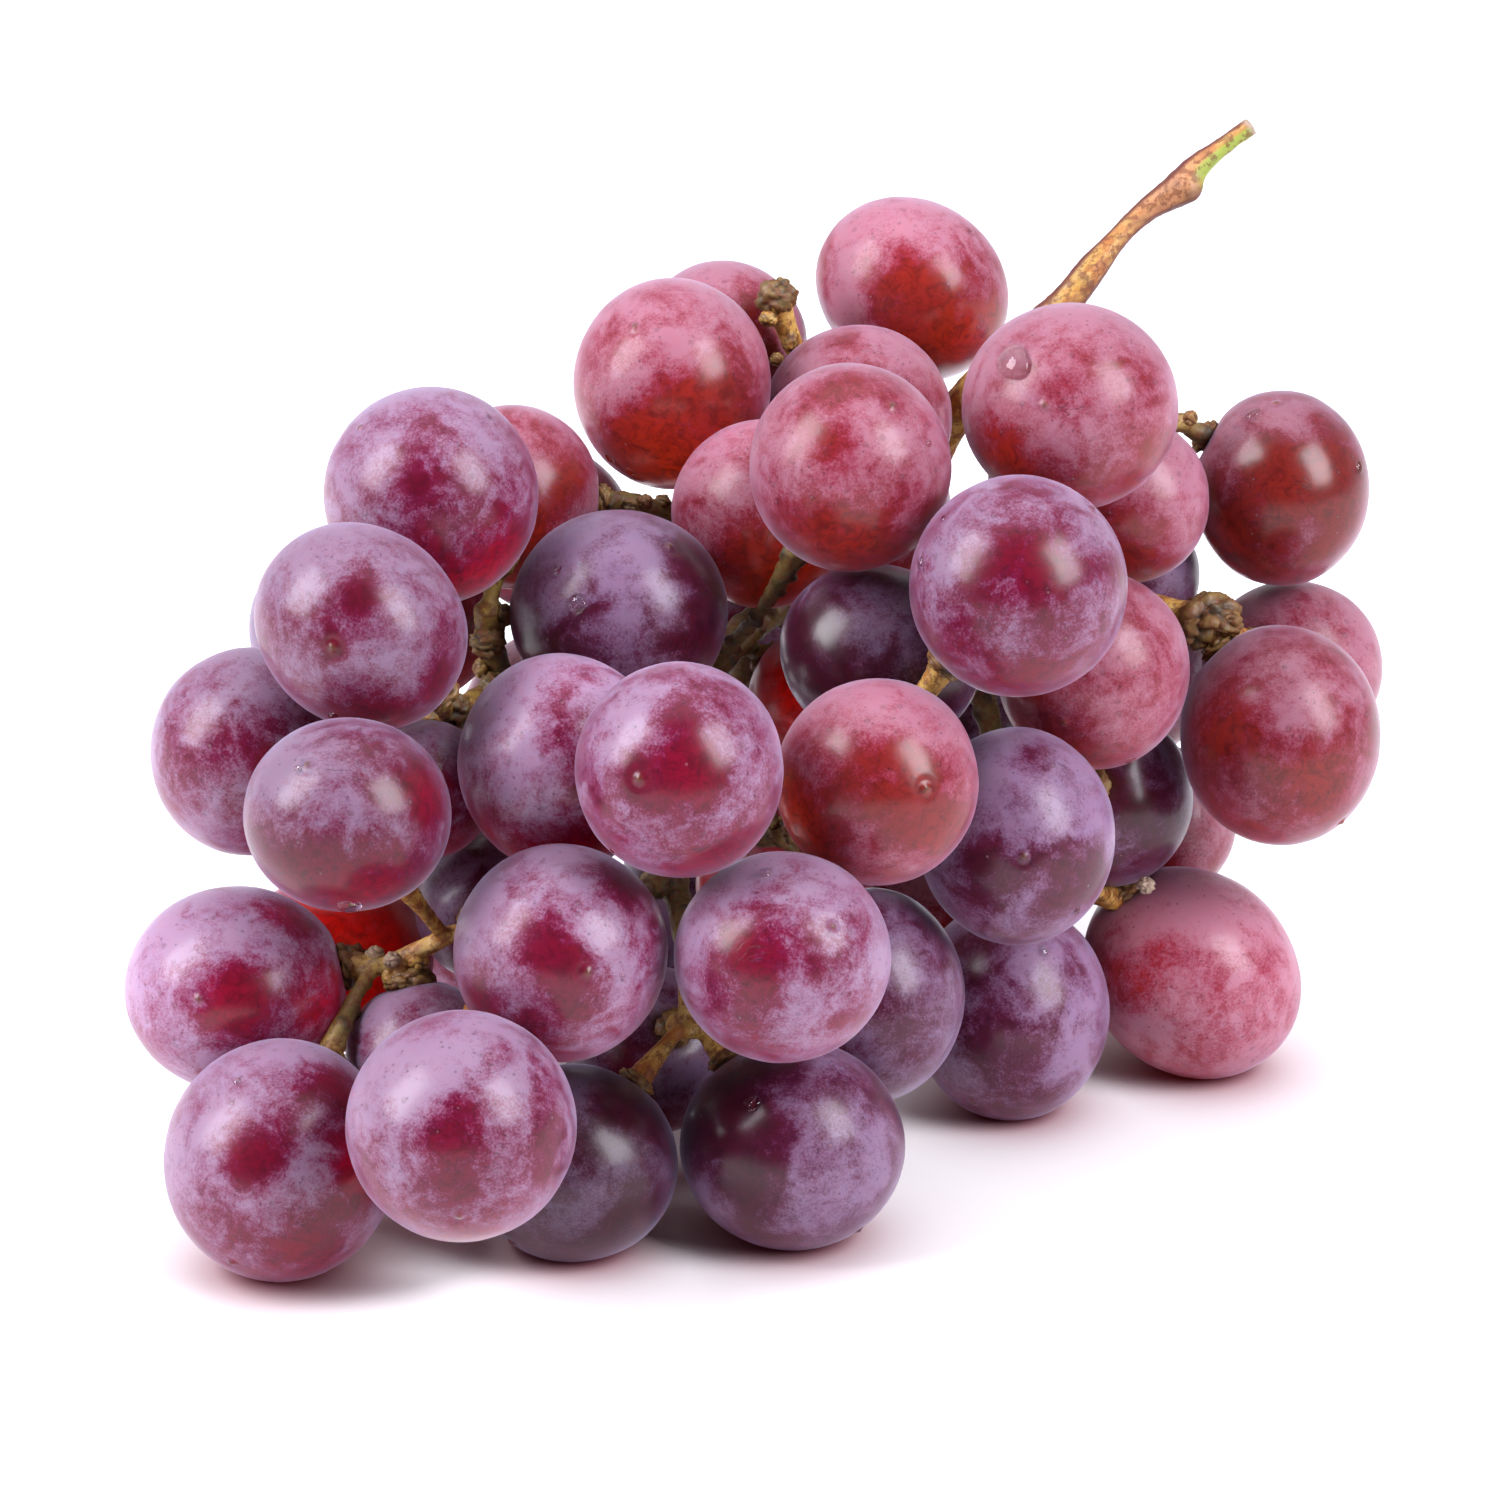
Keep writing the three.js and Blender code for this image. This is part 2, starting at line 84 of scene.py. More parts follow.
lens = bpy.data.cameras.new("view_camera")
lens.sensor_width = SENSOR
lens.lens = SENSOR * VIEW_DISTANCE / VIEW_WIDTH
lens.clip_start, lens.clip_end = NEAREST, FARTHEST
camera = bpy.data.objects.new("view_camera", lens)
camera.location = EYE
camera.rotation_euler = (math.pi / 2 - VIEW_ELEVATION, 0, 0)
bpy.context.scene.collection.objects.link(camera)
bpy.context.scene.camera = camera
print("camera lens", round(lens.lens, 1), "mm")

# %% [markdown]
# ## Making meshes and patterns from arrays
# Every new surface below is a grid of points worked out with numpy, so a few helpers come first. One turns
# arrays into a mesh object, and paints numbers on its points for the materials to read. Grapes, knots and
# drops are all globe grids, with a first pole, rings of points and a last pole, so the next ones give the
# directions and the faces of such a grid. The last ones give a bell curve, a smooth step, and a soft cloudy
# pattern in space, which is used wherever a natural thing is uneven.

# %% Helpers: a mesh from arrays
def paint(mesh, marks):
    """Writes one named number from 0 to 1 on each point of a mesh, for each entry of marks."""
    for mark_name, values in marks.items():
        layer = mesh.attributes.new(mark_name, "FLOAT", "POINT")
        layer.data.foreach_set("value", np.clip(values, 0, 1).astype(np.float32))


def mesh_piece(name, points, faces, marks=None):
    """An object at the origin whose mesh has these points and faces, shaded smooth and painted."""
    mesh = bpy.data.meshes.new(name)
    mesh.from_pydata(points.tolist(), [], [list(map(int, face)) for face in faces])
    mesh.shade_smooth()
    paint(mesh, marks or {})
    mesh.update()
    piece = bpy.data.objects.new(name, mesh)
    bpy.context.scene.collection.objects.link(piece)
    return piece


# %% Helpers: globe grids
NEARLY_UPRIGHT = 0.9  # past this upward part, a direction is too close to upright to be crossed with it


def axes_about(axis):
    """Two directions square to axis and to each other, so that the three turn anticlockwise."""
    helper = np.array([0.0, 0.0, 1.0]) if abs(axis[2]) < NEARLY_UPRIGHT else np.array([1.0, 0.0, 0.0])
    side = unit(np.cross(helper, axis))
    return side, np.cross(axis, side)


def circle_about(axis, sides):
    """Directions evenly round axis and square to it: cosine times one side plus sine times the other."""
    side, crossing = axes_about(axis)
    turn = np.arange(sides) * 2 * math.pi / sides
    return np.cos(turn)[:, None] * side + np.sin(turn)[:, None] * crossing


def globe_directions(axis, tilts, sides):
    """Axis, then a ring of directions for each tilt from it, then its opposite. A ring is the cosine of
    its tilt times axis plus the sine of its tilt times the circle round axis."""
    circle = circle_about(axis, sides)
    rings = np.cos(tilts)[:, None, None] * axis + np.sin(tilts)[:, None, None] * circle
    return np.concatenate([axis[None], rings.reshape(-1, 3), -axis[None]])


def globe_faces(rings, sides):
    """Faces of a globe: point 0 is the first pole, then rings of sides points each, then the last pole.
    Seen from outside, each face runs anticlockwise when a ring turns anticlockwise about the first pole."""
    k = np.arange(sides)
    after = (k + 1) % sides
    last = 1 + rings * sides
    start = 1 + np.arange(rings - 1)[:, None] * sides
    below = start + sides
    quads = np.stack([start + k, below + k, below + after, start + after], -1).reshape(-1, 4)
    top = np.stack([np.zeros(sides, int), 1 + k, 1 + after], -1)
    low = last - sides
    bottom = np.stack([np.full(sides, last), low + after, low + k], -1)
    return [*quads, *top, *bottom]


def copies_of(faces, count, points_each):
    """The faces of count like grids in one mesh, where each grid's points follow those of the one before."""
    return [face + points_each * i for i in range(count) for face in faces]


# %% Helpers: soft patterns
WAVES = 28
WAVE_SPREAD = (0.7, 1.5)  # the shortest and the longest wave, as a share of the size


def clouds(points, size, seed):
    """A soft pattern between about -1 and 1: the sum of cosine waves in random directions, over the root
    of their number. Their length is about size, in the same unit as points."""
    random = np.random.default_rng(seed)
    direction = unit(random.normal(size=(WAVES, 3)))
    length = size * random.uniform(*WAVE_SPREAD, WAVES)
    phase = random.uniform(0, 2 * math.pi, WAVES)
    wave = np.cos(points @ (direction / length[:, None]).T * 2 * math.pi + phase)
    return wave.sum(-1) / math.sqrt(WAVES)


def soft_step(low, high, value):
    """0 up to low, 1 from high on, and a smooth rise between them. With low over high it falls instead."""
    t = np.clip((value - low) / (high - low), 0, 1)
    return t * t * (3 - 2 * t)


def bell(distance, width):
    """1 at no distance, falling off as e to the power of minus the square of distance over width."""
    return np.exp(-((distance / width) ** 2))


# %% [markdown]
# ## The form of a grape
# The solid of a grape has only about ninety corners, and some of them are pressed in by a neighbour or
# by the table. A subdivision modifier would round the body but shrink it and keep the dents angular.
# A grape is very nearly an ellipsoid, so here the ellipsoid that passes through the corners is found by
# least squares, again and again, and each time the corners that lie inside count for less. It can then
# be worked out in any direction, as finely as wanted. The corner that lies below it and nearest to the
# stalk is the hollow where the grape hangs.

# %% Read each grape's ellipsoid and stalk end from its solid
FIT_PASSES = 14
INSIDE_COUNTS = 0.006  # a corner this share of the radius inside counts for half
HOLLOW_LEAST = 0.35 * MM  # a corner in the hollow lies at least this far inside
FAR_AWAY = 1.0  # metres, more than any corner lies from the stalk


def corners_of(name):
    """The corners of a CAD node, each once."""
    mesh = frame["nodes"][name].data
    points = np.empty(len(mesh.vertices) * 3)
    mesh.vertices.foreach_get("co", points)
    return np.unique(points.reshape(-1, 3).round(7), axis=0)


WOOD = corners_of("stalk")


def fit_ellipsoid(corners):
    """Centre and 3 by 3 form F of the ellipsoid (p - centre) F (p - centre) = 1 through the corners."""
    middle = (corners.min(0) + corners.max(0)) / 2
    x, y, z = ((corners - middle) / MM).T
    terms = np.stack([x * x, y * y, z * z, 2 * x * y, 2 * x * z, 2 * y * z, x, y, z], 1)
    counts = np.ones(len(x))
    for _ in range(FIT_PASSES):
        a, b, c, d, e, f, *slope = np.linalg.lstsq(terms * counts[:, None], counts, rcond=None)[0]
        form = np.array([[a, d, e], [d, b, f], [e, f, c]])
        shift = -0.5 * np.linalg.solve(form, slope)
        form = form / (1 + shift @ form @ shift)
        spoke = np.stack([x, y, z], 1) - shift
        out = np.sqrt(np.einsum("ni,ij,nj->n", spoke, form, spoke)) - 1
        counts = np.where(out > 0, 1.0, 1 / (1 + (out / INSIDE_COUNTS) ** 2))
    return middle + shift * MM, form / MM**2


def radius_of(grape, directions):
    """How far a grape's ellipsoid reaches from its centre in these directions."""
    return 1 / np.sqrt(np.einsum("ni,ij,nj->n", directions, grape["form"], directions))


def read_grape(name):
    """The centre and form of a grape, and the direction and depth of the hollow at its stalk end."""
    corners = corners_of(name)
    centre, form = fit_ellipsoid(corners)
    grape = {"name": name, "centre": centre, "form": form}
    spoke = corners - centre
    reach = np.linalg.norm(spoke, axis=1)
    depth = radius_of(grape, spoke / reach[:, None]) - reach
    to_wood = np.linalg.norm(corners[:, None] - WOOD[None], axis=2).min(1)
    hollow = np.argmin(np.where(depth > HOLLOW_LEAST, to_wood, FAR_AWAY))
    grape["stalk_end"] = spoke[hollow] / reach[hollow]
    grape["hollow"] = depth[hollow]
    return grape


grapes = {name: read_grape(name) for name in GRAPES}
widths = [2 * np.linalg.det(grape["form"]) ** (-1 / 6) / MM for grape in grapes.values()]
depths = [grape["hollow"] / MM for grape in grapes.values()]
print(f"grapes are {min(widths):.1f} to {max(widths):.1f} mm across")
print(f"the hollows of the solids are {min(depths):.2f} to {max(depths):.2f} mm deep")

# %% [markdown]
# ## Marks that the eye can see
# On a real bunch, fingers and neighbours rub the bloom away, and the dark skin shows in soft-edged
# patches. A patch is given as the eye sees it: how far across and up it lies on the grape, from -1 to 1,
# how wide it is, and how much bloom it takes off. Where daylight comes through a clean patch low on a
# grape, it glows red, so some patches carry a glow too. Random patches would also do, and the hidden
# sides have them, but people remember a bunch by these marks. No two grapes ripen alike, so two short
# lists say which carry more or less bloom than most, and which are lighter or deeper in colour.

# %% Rubbed patches as (across, up, width, bloom taken off, glow), grape by grape
RUBBED = {
    1: [(0.0, 0.1, 0.42, 0.35, 0.2), (0.5, -0.55, 0.55, 0.7, 0.6), (-0.1, -0.75, 0.4, 0.4, 0.4)],
    2: [(0.3, 0.3, 0.4, 0.4, 0.1)],
    3: [(0.0, -0.8, 0.65, 0.9, 0.9), (0.25, -0.15, 0.4, 0.45, 0.3), (-0.35, -0.5, 0.3, 0.4, 0.4)],
    4: [(-0.1, 0.65, 0.35, 0.3, 0.0)],
    5: [(-0.2, 0.1, 0.32, 0.6, 0.1), (-0.2, 0.65, 0.3, 0.5, 0.0), (-0.1, -0.8, 0.6, 0.8, 0.4)],
    6: [(0.35, -0.45, 0.6, 0.7, 0.6), (-0.3, -0.3, 0.3, 0.3, 0.2)],
    7: [(-0.65, -0.5, 0.45, 0.55, 0.6), (0.1, 0.25, 0.3, 0.2, 0.0)],
    8: [(0.6, 0.2, 0.4, 0.6, 0.2), (0.3, -0.4, 0.4, 0.2, 0.3)],
    10: [(0.05, 0.5, 0.4, 0.35, 0.0), (-0.05, 0.05, 0.1, 0.6, 0.0), (0.55, -0.75, 0.55, 0.8, 0.8),
         (0.05, -0.5, 0.25, 0.5, 0.2)],
    11: [(0.0, 0.3, 0.35, 0.5, 0.0), (-0.2, -0.2, 0.13, 0.7, 0.1), (0.75, -0.45, 0.16, 0.6, 0.1),
         (0.3, -0.95, 0.5, 0.8, 0.5)],
    12: [(-0.1, 0.2, 0.45, 0.25, 0.0), (0.3, -0.2, 0.3, 0.2, 0.1)],
    13: [(0.8, 0.2, 0.35, 0.7, 0.3), (0.15, -0.85, 0.6, 0.9, 0.5), (-0.5, -0.6, 0.25, 0.6, 0.0)],
    14: [(0.0, 0.0, 0.5, 0.4, 0.2)],
    15: [(0.8, 0.45, 0.4, 0.8, 0.1), (-0.05, 0.65, 0.25, 0.4, 0.0), (-0.15, 0.0, 0.15, 0.5, 0.0),
         (0.75, -0.3, 0.3, 0.4, 0.0)],
    16: [(-0.7, 0.1, 0.6, 0.8, 0.0), (0.2, -0.5, 0.5, 0.5, 0.0)],
    17: [(0.2, -0.1, 0.35, 0.3, 0.1), (0.45, -0.65, 0.35, 0.4, 0.0), (-0.75, -0.5, 0.25, 0.4, 0.1)],
    18: [(0.12, -0.02, 0.42, 0.95, 0.2), (0.0, 0.5, 0.2, 0.5, 0.0), (0.45, -0.85, 0.4, 0.6, 0.1),
         (-0.3, -0.1, 0.2, 0.6, 0.0)],
    19: [(0.1, 0.1, 0.6, 0.5, 0.1), (-0.9, -0.3, 0.5, 0.9, 0.9), (-0.5, 0.3, 0.4, 0.4, 0.1)],
    20: [(0.1, 0.25, 0.42, 0.6, 0.1), (-0.35, -0.2, 0.3, 0.5, 0.0), (0.1, -0.75, 0.4, 0.3, 0.0)],
    21: [(0.0, 0.0, 0.9, 0.9, 0.9)],
    22: [(-0.2, -0.3, 0.4, 0.2, 0.1)],
    23: [(-0.2, -0.1, 0.6, 0.75, 0.2), (0.4, 0.2, 0.4, 0.4, 0.1), (-0.6, -0.6, 0.4, 0.5, 0.3)],
    24: [(0.0, 0.0, 0.6, 0.4, 0.0)],
    25: [(-0.7, 0.0, 0.4, 0.5, 0.4)],
    26: [(0.6, -0.3, 0.3, 0.5, 0.1)],
    27: [(-0.65, 0.1, 0.5, 0.7, 0.3), (0.2, -0.4, 0.35, 0.4, 0.2), (0.35, 0.3, 0.25, 0.3, 0.1)],
    28: [(-0.3, -0.3, 0.4, 0.5, 0.0), (0.1, 0.75, 0.2, 0.4, 0.0), (0.7, -0.4, 0.3, 0.3, 0.0)],
    29: [(0.2, 0.0, 0.4, 0.5, 0.0)],
    31: [(-0.5, 0.1, 0.5, 0.35, 0.4), (0.1, -0.2, 0.2, 0.3, 0.1), (0.6, 0.0, 0.3, 0.4, 0.0)],
    32: [(-0.4, 0.6, 0.4, 0.6, 0.1), (0.0, -0.1, 0.4, 0.25, 0.0)],
    33: [(0.0, 0.7, 0.4, 0.4, 0.0)],
    34: [(-0.3, 0.1, 0.45, 0.6, 0.1), (0.3, 0.05, 0.3, 0.3, 0.0), (0.7, 0.35, 0.2, 0.3, 0.0)],
    35: [(0.05, -0.05, 0.4, 0.55, 0.1), (0.5, 0.65, 0.3, 0.5, 0.0), (-0.7, -0.5, 0.3, 0.4, 0.1)],
    36: [(-0.7, 0.2, 0.6, 0.8, 0.0), (-0.25, -0.3, 0.25, 0.7, 0.0), (-0.2, 0.8, 0.4, 0.5, 0.0)],
    37: [(0.6, 0.6, 0.5, 0.6, 0.0)],
    39: [(0.0, -0.1, 0.42, 0.7, 0.1), (-0.4, 0.5, 0.2, 0.2, 0.0), (0.4, 0.65, 0.2, 0.3, 0.0)],
    40: [(-0.15, 0.15, 0.3, 0.7, 0.1), (0.75, 0.05, 0.35, 0.8, 0.5), (0.5, 0.7, 0.25, 0.7, 0.1),
         (0.2, -0.7, 0.5, 0.35, 0.2)],
    41: [(0.1, -0.1, 0.42, 0.75, 0.2), (0.85, -0.1, 0.4, 0.6, 0.7), (0.4, 0.75, 0.25, 0.5, 0.2)],
    42: [(0.0, 0.0, 0.9, 0.95, 1.0)],
    43: [(0.0, 0.0, 0.5, 0.4, 0.2)],
}
# Bloom that a grape has over, or under, that of most
EXTRA_BLOOM = {31: 0.22, 32: 0.05, 28: 0.05, 41: 0.12, 34: 0.06, 39: 0.06, 17: 0.12, 36: 0.05, 16: -0.12,
               23: -0.18, 13: -0.10, 5: -0.08, 27: -0.06, 37: -0.10, 20: -0.05, 6: -0.06}
# How light a grape is, against others of its finish
LIGHTER = {41: 1.35, 17: 1.22, 31: 1.28, 32: 1.32, 28: 1.28, 36: 1.12, 6: 1.15, 1: 1.18, 15: 1.12, 3: 1.1,
           23: 0.74, 37: 0.56, 13: 0.72, 20: 0.91, 27: 0.91, 11: 0.82, 16: 0.80, 39: 0.92}
print(sum(map(len, RUBBED.values())), "patches placed by eye")

# %% [markdown]
# ## The body of a grape
# Each body is laid on a globe grid that runs from the stalk end to the far end, with rings close together
# at both, where the detail is. At the stalk end, the skin dips into a hollow. At the far end is the dry
# scar that the flower left: a tiny tip in a shallow moat. Where the eye sees that scar, its place is given,
# because on a real grape the two ends are seldom quite opposite. Two layers of slow waves keep the skin
# from being perfectly smooth.

# %% The points of one grape
NEAR_POLE = np.radians([1.2, 2.4, 3.8, 5.5, 7.5, 10.0, 13.0, 16.5])  # tilts of the rings near a pole
SIDES = 80
BETWEEN = 38
TILTS = np.concatenate([NEAR_POLE, np.linspace(NEAR_POLE[-1], math.pi - NEAR_POLE[-1], BETWEEN + 2)[1:-1],
                        math.pi - NEAR_POLE[::-1]])
HOLLOW_DEPTH, HOLLOW_WIDTH = 0.75 * MM, 2.3 * MM
SCAR_HEIGHT, SCAR_WIDTH = 0.22 * MM, 0.32 * MM
MOAT_DEPTH, MOAT_OUT = 0.11 * MM, 0.9 * MM
WAVINESS, FINE_WAVINESS = 0.045 * MM, 0.0135 * MM  # how far a skin departs from its smooth body
WAVE_SIZE, FINE_WAVE_SIZE = 0.9, 0.3  # as shares of the radius
SEEN_SCARS = {18: (-0.36, -0.08), 19: (0.45, -0.06), 11: (-0.2, -0.22), 39: (0.02, -0.72), 23: (-0.1, 0.85),
              12: (0.45, -0.72), 41: (-0.25, -0.05)}  # where the far end shows, as (across, up)


def facing(across, up):
    """The direction from a grape's centre to a mark that the eye sees at (across, up) on it."""
    towards = math.sqrt(max(0.0, 1 - across**2 - up**2))
    return unit(across * RIGHT + up * UPWARD - towards * AHEAD)


def grape_grid(grape, number):
    """The directions of a grape's globe grid, how far each lies from the stalk end and from the scar
    along the skin, and its points: the ellipsoid's radius, less a bell for the hollow and one for the
    moat, plus a bell for the scar's tip and two layers of clouds."""
    axis = -facing(*SEEN_SCARS[number]) if number in SEEN_SCARS else grape["stalk_end"]
    directions = globe_directions(axis, TILTS, SIDES)
    radius = radius_of(grape, directions)
    from_stalk = np.arccos(np.clip(directions @ grape["stalk_end"], -1, 1)) * radius
    from_scar = np.arccos(np.clip(directions @ -axis, -1, 1)) * radius
    radius = radius - HOLLOW_DEPTH * bell(from_stalk, HOLLOW_WIDTH)
    radius = radius + SCAR_HEIGHT * bell(from_scar, SCAR_WIDTH)
    radius = radius - MOAT_DEPTH * bell(from_scar - MOAT_OUT, SCAR_WIDTH)
    radius = radius + WAVINESS * clouds(directions, WAVE_SIZE, number)
    radius = radius + FINE_WAVINESS * clouds(directions, FINE_WAVE_SIZE, number)
    return directions, from_stalk, from_scar, grape["centre"] + directions * radius[:, None]


print(len(TILTS), "rings of", SIDES, "points on each grape")

# %% [markdown]
# ## Where grapes press on each other
# Each grape is worked out on its own, so where two press together their smooth bodies may overlap by a
# hair. The points of each that lie inside the other are drawn back, so that the two meet in a soft flat,
# as real ones do. Two like grapes draw back by half of the overlap each. Where one of them is inside the
# bunch, it gives way nearly alone, because the form of the outer one is what the eye sees. The grapes at
# the bottom are flat where they lie on the table: a point below it is simply lifted onto it.

# %% Flats on a grape
PRESS_GIVE = 0.25 * MM  # how softly a pressed flat begins
LAST_OUTER = "grape_44"  # the grapes after it are inside or behind the bunch
INNER_GIVES = 0.9  # how much more of an overlap an inner grape gives way than an outer one
NEIGHBOUR = 34 * MM  # grapes whose centres are nearer than this may press on each other


def is_inner(grape):
    """True for a grape inside or behind the bunch."""
    return grape["name"] > LAST_OUTER


def above(value, give):
    """value where it is well over 0, nearly 0 where it is well under, with a bend about give wide: half
    of the sum of value and the root of its square plus the square of give."""
    return (value + np.sqrt(value**2 + give**2)) / 2


def pressed(points, own):
    """The points of a grape, drawn towards its centre by its share of the overlap where they lie inside
    another, and never below the table."""
    for other in grapes.values():
        if not 0 < np.linalg.norm(other["centre"] - own["centre"]) < NEIGHBOUR:
            continue
        share = (1 + INNER_GIVES * (is_inner(own) - is_inner(other))) / 2
        spoke = points - other["centre"]
        reach = np.linalg.norm(spoke, axis=1)
        overlap = radius_of(other, spoke / reach[:, None]) - reach
        inward = unit(own["centre"] - points)
        points = points + inward * (above(overlap, PRESS_GIVE) * share)[:, None]
    points[:, 2] = above(points[:, 2], PRESS_GIVE)
    return points


print(sum(map(is_inner, grapes.values())), "inner grapes give way to the others")

# %% [markdown]
# ## Bloom, glow and colour of each point
# A material can't know where fingers touched a grape, so the amount of bloom is painted on the points, and
# so is the glow. The wax starts from an even share, with more where the skin looks up, and more at the upper
# left, which is a painted highlight where the left lamp's light falls. Slow clouds thin it here and there,
# and each patch takes some off. A skin that looks down glows a little, where light leaves the grape. The
# hollow and the scar are brown.

# %% Bloom and glow on the points of a grape
# The share at the upper left is a painted highlight: paler wax where the left lamp's light falls.
BLOOM, BLOOM_ABOVE, LAMP_HIGHLIGHT_BLOOM = 0.60, 0.22, 0.16  # everywhere, more on top, more at the upper left
BLOOM_CLOUDS, CLOUD_SIZE = 0.20, 12 * MM
UPPER, LEFT = 0.6, 0.8  # how much of up and of left make the upper left
GLOW_BELOW, GLOW_FROM, GLOW_FULL = 0.30, 0.1, -0.9  # its share, and how far up the skin looks there
FREE_PATCHES = 5  # random ones tried on each grape, but its own list stands where the eye sees it
FREE_WIDTH, FREE_OFF, FREE_GLOW = (0.2, 0.5), (0.3, 0.8), (0, 0.3)
EDGE_ON = -0.1  # a patch that faces the eye more than this belongs to the side it sees
PATCH_FALL, PATCH_OFF = 1.2, 1.2  # how steeply a patch fades, and how strongly it clears the wax
CLOUD_SEED = 300


def bloom_on(directions, points, number, random):
    """Bloom and glow on each point. Bloom is an even share, plus shares of how far the skin looks up and
    to the upper left, plus clouds, less each patch. A patch fades from its middle as a bell curve."""
    patches = [(facing(across, up), *rest) for across, up, *rest in RUBBED.get(number, [])]
    for _ in range(FREE_PATCHES):
        way = unit(random.normal(size=3))
        if number in RUBBED and way @ -AHEAD > EDGE_ON:
            continue
        patches.append((way, *(random.uniform(*limits) for limits in (FREE_WIDTH, FREE_OFF, FREE_GLOW))))
    bloom = BLOOM + EXTRA_BLOOM.get(number, 0) + BLOOM_ABOVE * directions[:, 2]
    bloom = bloom + BLOOM_CLOUDS * clouds(points, CLOUD_SIZE, number + CLOUD_SEED)
    glow = GLOW_BELOW * soft_step(GLOW_FROM, GLOW_FULL, directions[:, 2])
    for middle, width, off, shine in patches:
        apart = np.arccos(np.clip(directions @ middle, -1, 1))
        fade = np.exp(-PATCH_FALL * (apart / width) ** 2)
        bloom = bloom - PATCH_OFF * off * fade
        glow = np.maximum(glow, shine * fade)
    # Painted highlight: more pale wax on the upper left, the side that the left lamp lights.
    lamp_lit_upper_left = np.maximum(0, UPPER * (directions @ UPWARD) - LEFT * (directions @ RIGHT))
    return bloom + LAMP_HIGHLIGHT_BLOOM * lamp_lit_upper_left, glow


# %% Every skin
GRAPE_SEED = 1000
SCAR_BROWN = 0.34 * MM
HOLLOW_BROWN, BROWN_FROM, BROWN_FULL = 0.8, 3.4 * MM, 1.6 * MM  # its share, and how far from the stalk end
LIGHTNESS_SHIFT = 0.5  # taken off the lightness so that a number from 0 to 1 is painted


def make_grape(number):
    """The fine skin of a grape, which stands for its CAD node."""
    name = f"grape_{number:02d}"
    random = np.random.default_rng(GRAPE_SEED + number)
    directions, from_stalk, from_scar, points = grape_grid(grapes[name], number)
    points = pressed(points, grapes[name])
    bloom, glow = bloom_on(directions, points, number, random)
    brown = bell(from_scar, SCAR_BROWN) + HOLLOW_BROWN * soft_step(BROWN_FROM, BROWN_FULL, from_stalk)
    marks = {"bloom": bloom, "glow": glow, "scar": brown,
             "tint": np.full(len(points), random.uniform(0, 1)),
             "lightness": np.full(len(points), LIGHTER.get(number, 1.0) - LIGHTNESS_SHIFT)}
    skin = mesh_piece(name + "_skin", points, globe_faces(len(TILTS), SIDES), marks)
    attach(skin, "root")
    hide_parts(name)
    return skin


skins = {number: make_grape(number) for number in range(1, len(GRAPES) + 1)}
print(sum(len(skin.data.polygons) for skin in skins.values()), "faces of skin")

# %% [markdown]
# ## Wiring a material
# A material is a web of nodes. The first helpers add one node, set its values and plug in the sockets that
# are given, so that each finish below reads as a short list. The effects that several finishes use are
# node groups: the bloom, and the small marks of age.

# %% Helpers for nodes and groups
def feed(tree, made, inputs):
    """An input given as a socket is linked, and any other is set as its value."""
    for socket, value in inputs.items():
        if isinstance(value, bpy.types.NodeSocket):
            tree.links.new(value, made.inputs[socket])
        else:
            made.inputs[socket].default_value = value


def node(tree, kind, inputs=None, **settings):
    """Adds a node with these settings and inputs."""
    made = tree.nodes.new(kind)
    for key, value in settings.items():
        setattr(made, key, value)
    feed(tree, made, inputs or {})
    return made


def maths(tree, operation, first, second=0.0):
    """The result socket of a Math node."""
    return node(tree, "ShaderNodeMath", {0: first, 1: second}, operation=operation).outputs[0]


def times(tree, first, second):
    """The socket of first times second."""
    return maths(tree, "MULTIPLY", first, second)


def blend(tree, amount, first, second):
    """The colour socket of a Mix node: first where amount is 0, second where it is 1. Sockets 6 and 7 are
    its two colours."""
    return node(tree, "ShaderNodeMix", {"Factor": amount, 6: first, 7: second}, data_type="RGBA").outputs[2]


def stretch(tree, value, low, high, to_low=0.0, to_high=1.0):
    """The socket of a smooth Map Range: low becomes to_low, high becomes to_high, and no further."""
    made = node(tree, "ShaderNodeMapRange", {"Value": value, "From Min": low, "From Max": high,
                                             "To Min": to_low, "To Max": to_high},
                interpolation_type="SMOOTHSTEP")
    return made.outputs["Result"]


def grain(tree, where, scale, detail=3.0, roughness=0.5, distortion=0.0):
    """The number socket of a Noise node with this many lumps in a metre."""
    made = node(tree, "ShaderNodeTexNoise", {"Vector": where, "Scale": scale, "Detail": detail,
                                             "Roughness": roughness, "Distortion": distortion})
    return made.outputs["Fac"]


def start_group(name, inputs, outputs):
    """A new node group with these sockets, each (name, kind, value) or (name, kind)."""
    tree = bpy.data.node_groups.new(name, "ShaderNodeTree")
    for socket, kind, value in inputs:
        made = tree.interface.new_socket(socket, in_out="INPUT", socket_type=kind)
        made.default_value = value
    for socket, kind in outputs:
        tree.interface.new_socket(socket, in_out="OUTPUT", socket_type=kind)
    return tree, tree.nodes.new("NodeGroupInput").outputs, tree.nodes.new("NodeGroupOutput").inputs


def object_place(tree):
    """The socket that gives each point's place on its object."""
    return node(tree, "ShaderNodeTexCoord").outputs["Object"]


COLOUR, NUMBER = "NodeSocketColor", "NodeSocketFloat"

# %% [markdown]
# ## The bloom
# Bloom is fine wax. It lies in clouds a few millimetres wide, broken up by a much finer grain, and it
# has ragged edges where it was rubbed. The amount painted on the grape moves the threshold of three
# layers of noise, so a thin place shows islands of wax and a thick one shows pinholes of clean skin.
# Thin wax only dulls the skin to a haze, and thick wax shows its own pale colour.

# %% Group: waxy bloom over a skin colour
# Lumps in a metre, detail, roughness, distortion and share of each layer, the finest last
WAX_LAYERS = [(190, 5, 0.60, 0.8, 0.80), (680, 5, 0.68, 0.4, 0.46), (3600, 3, 0.70, 0.0, 0.42)]
WAX_MEAN, WAX_CONTRAST = 0.84, 2.3  # the mean of the layers, and how far they move the threshold
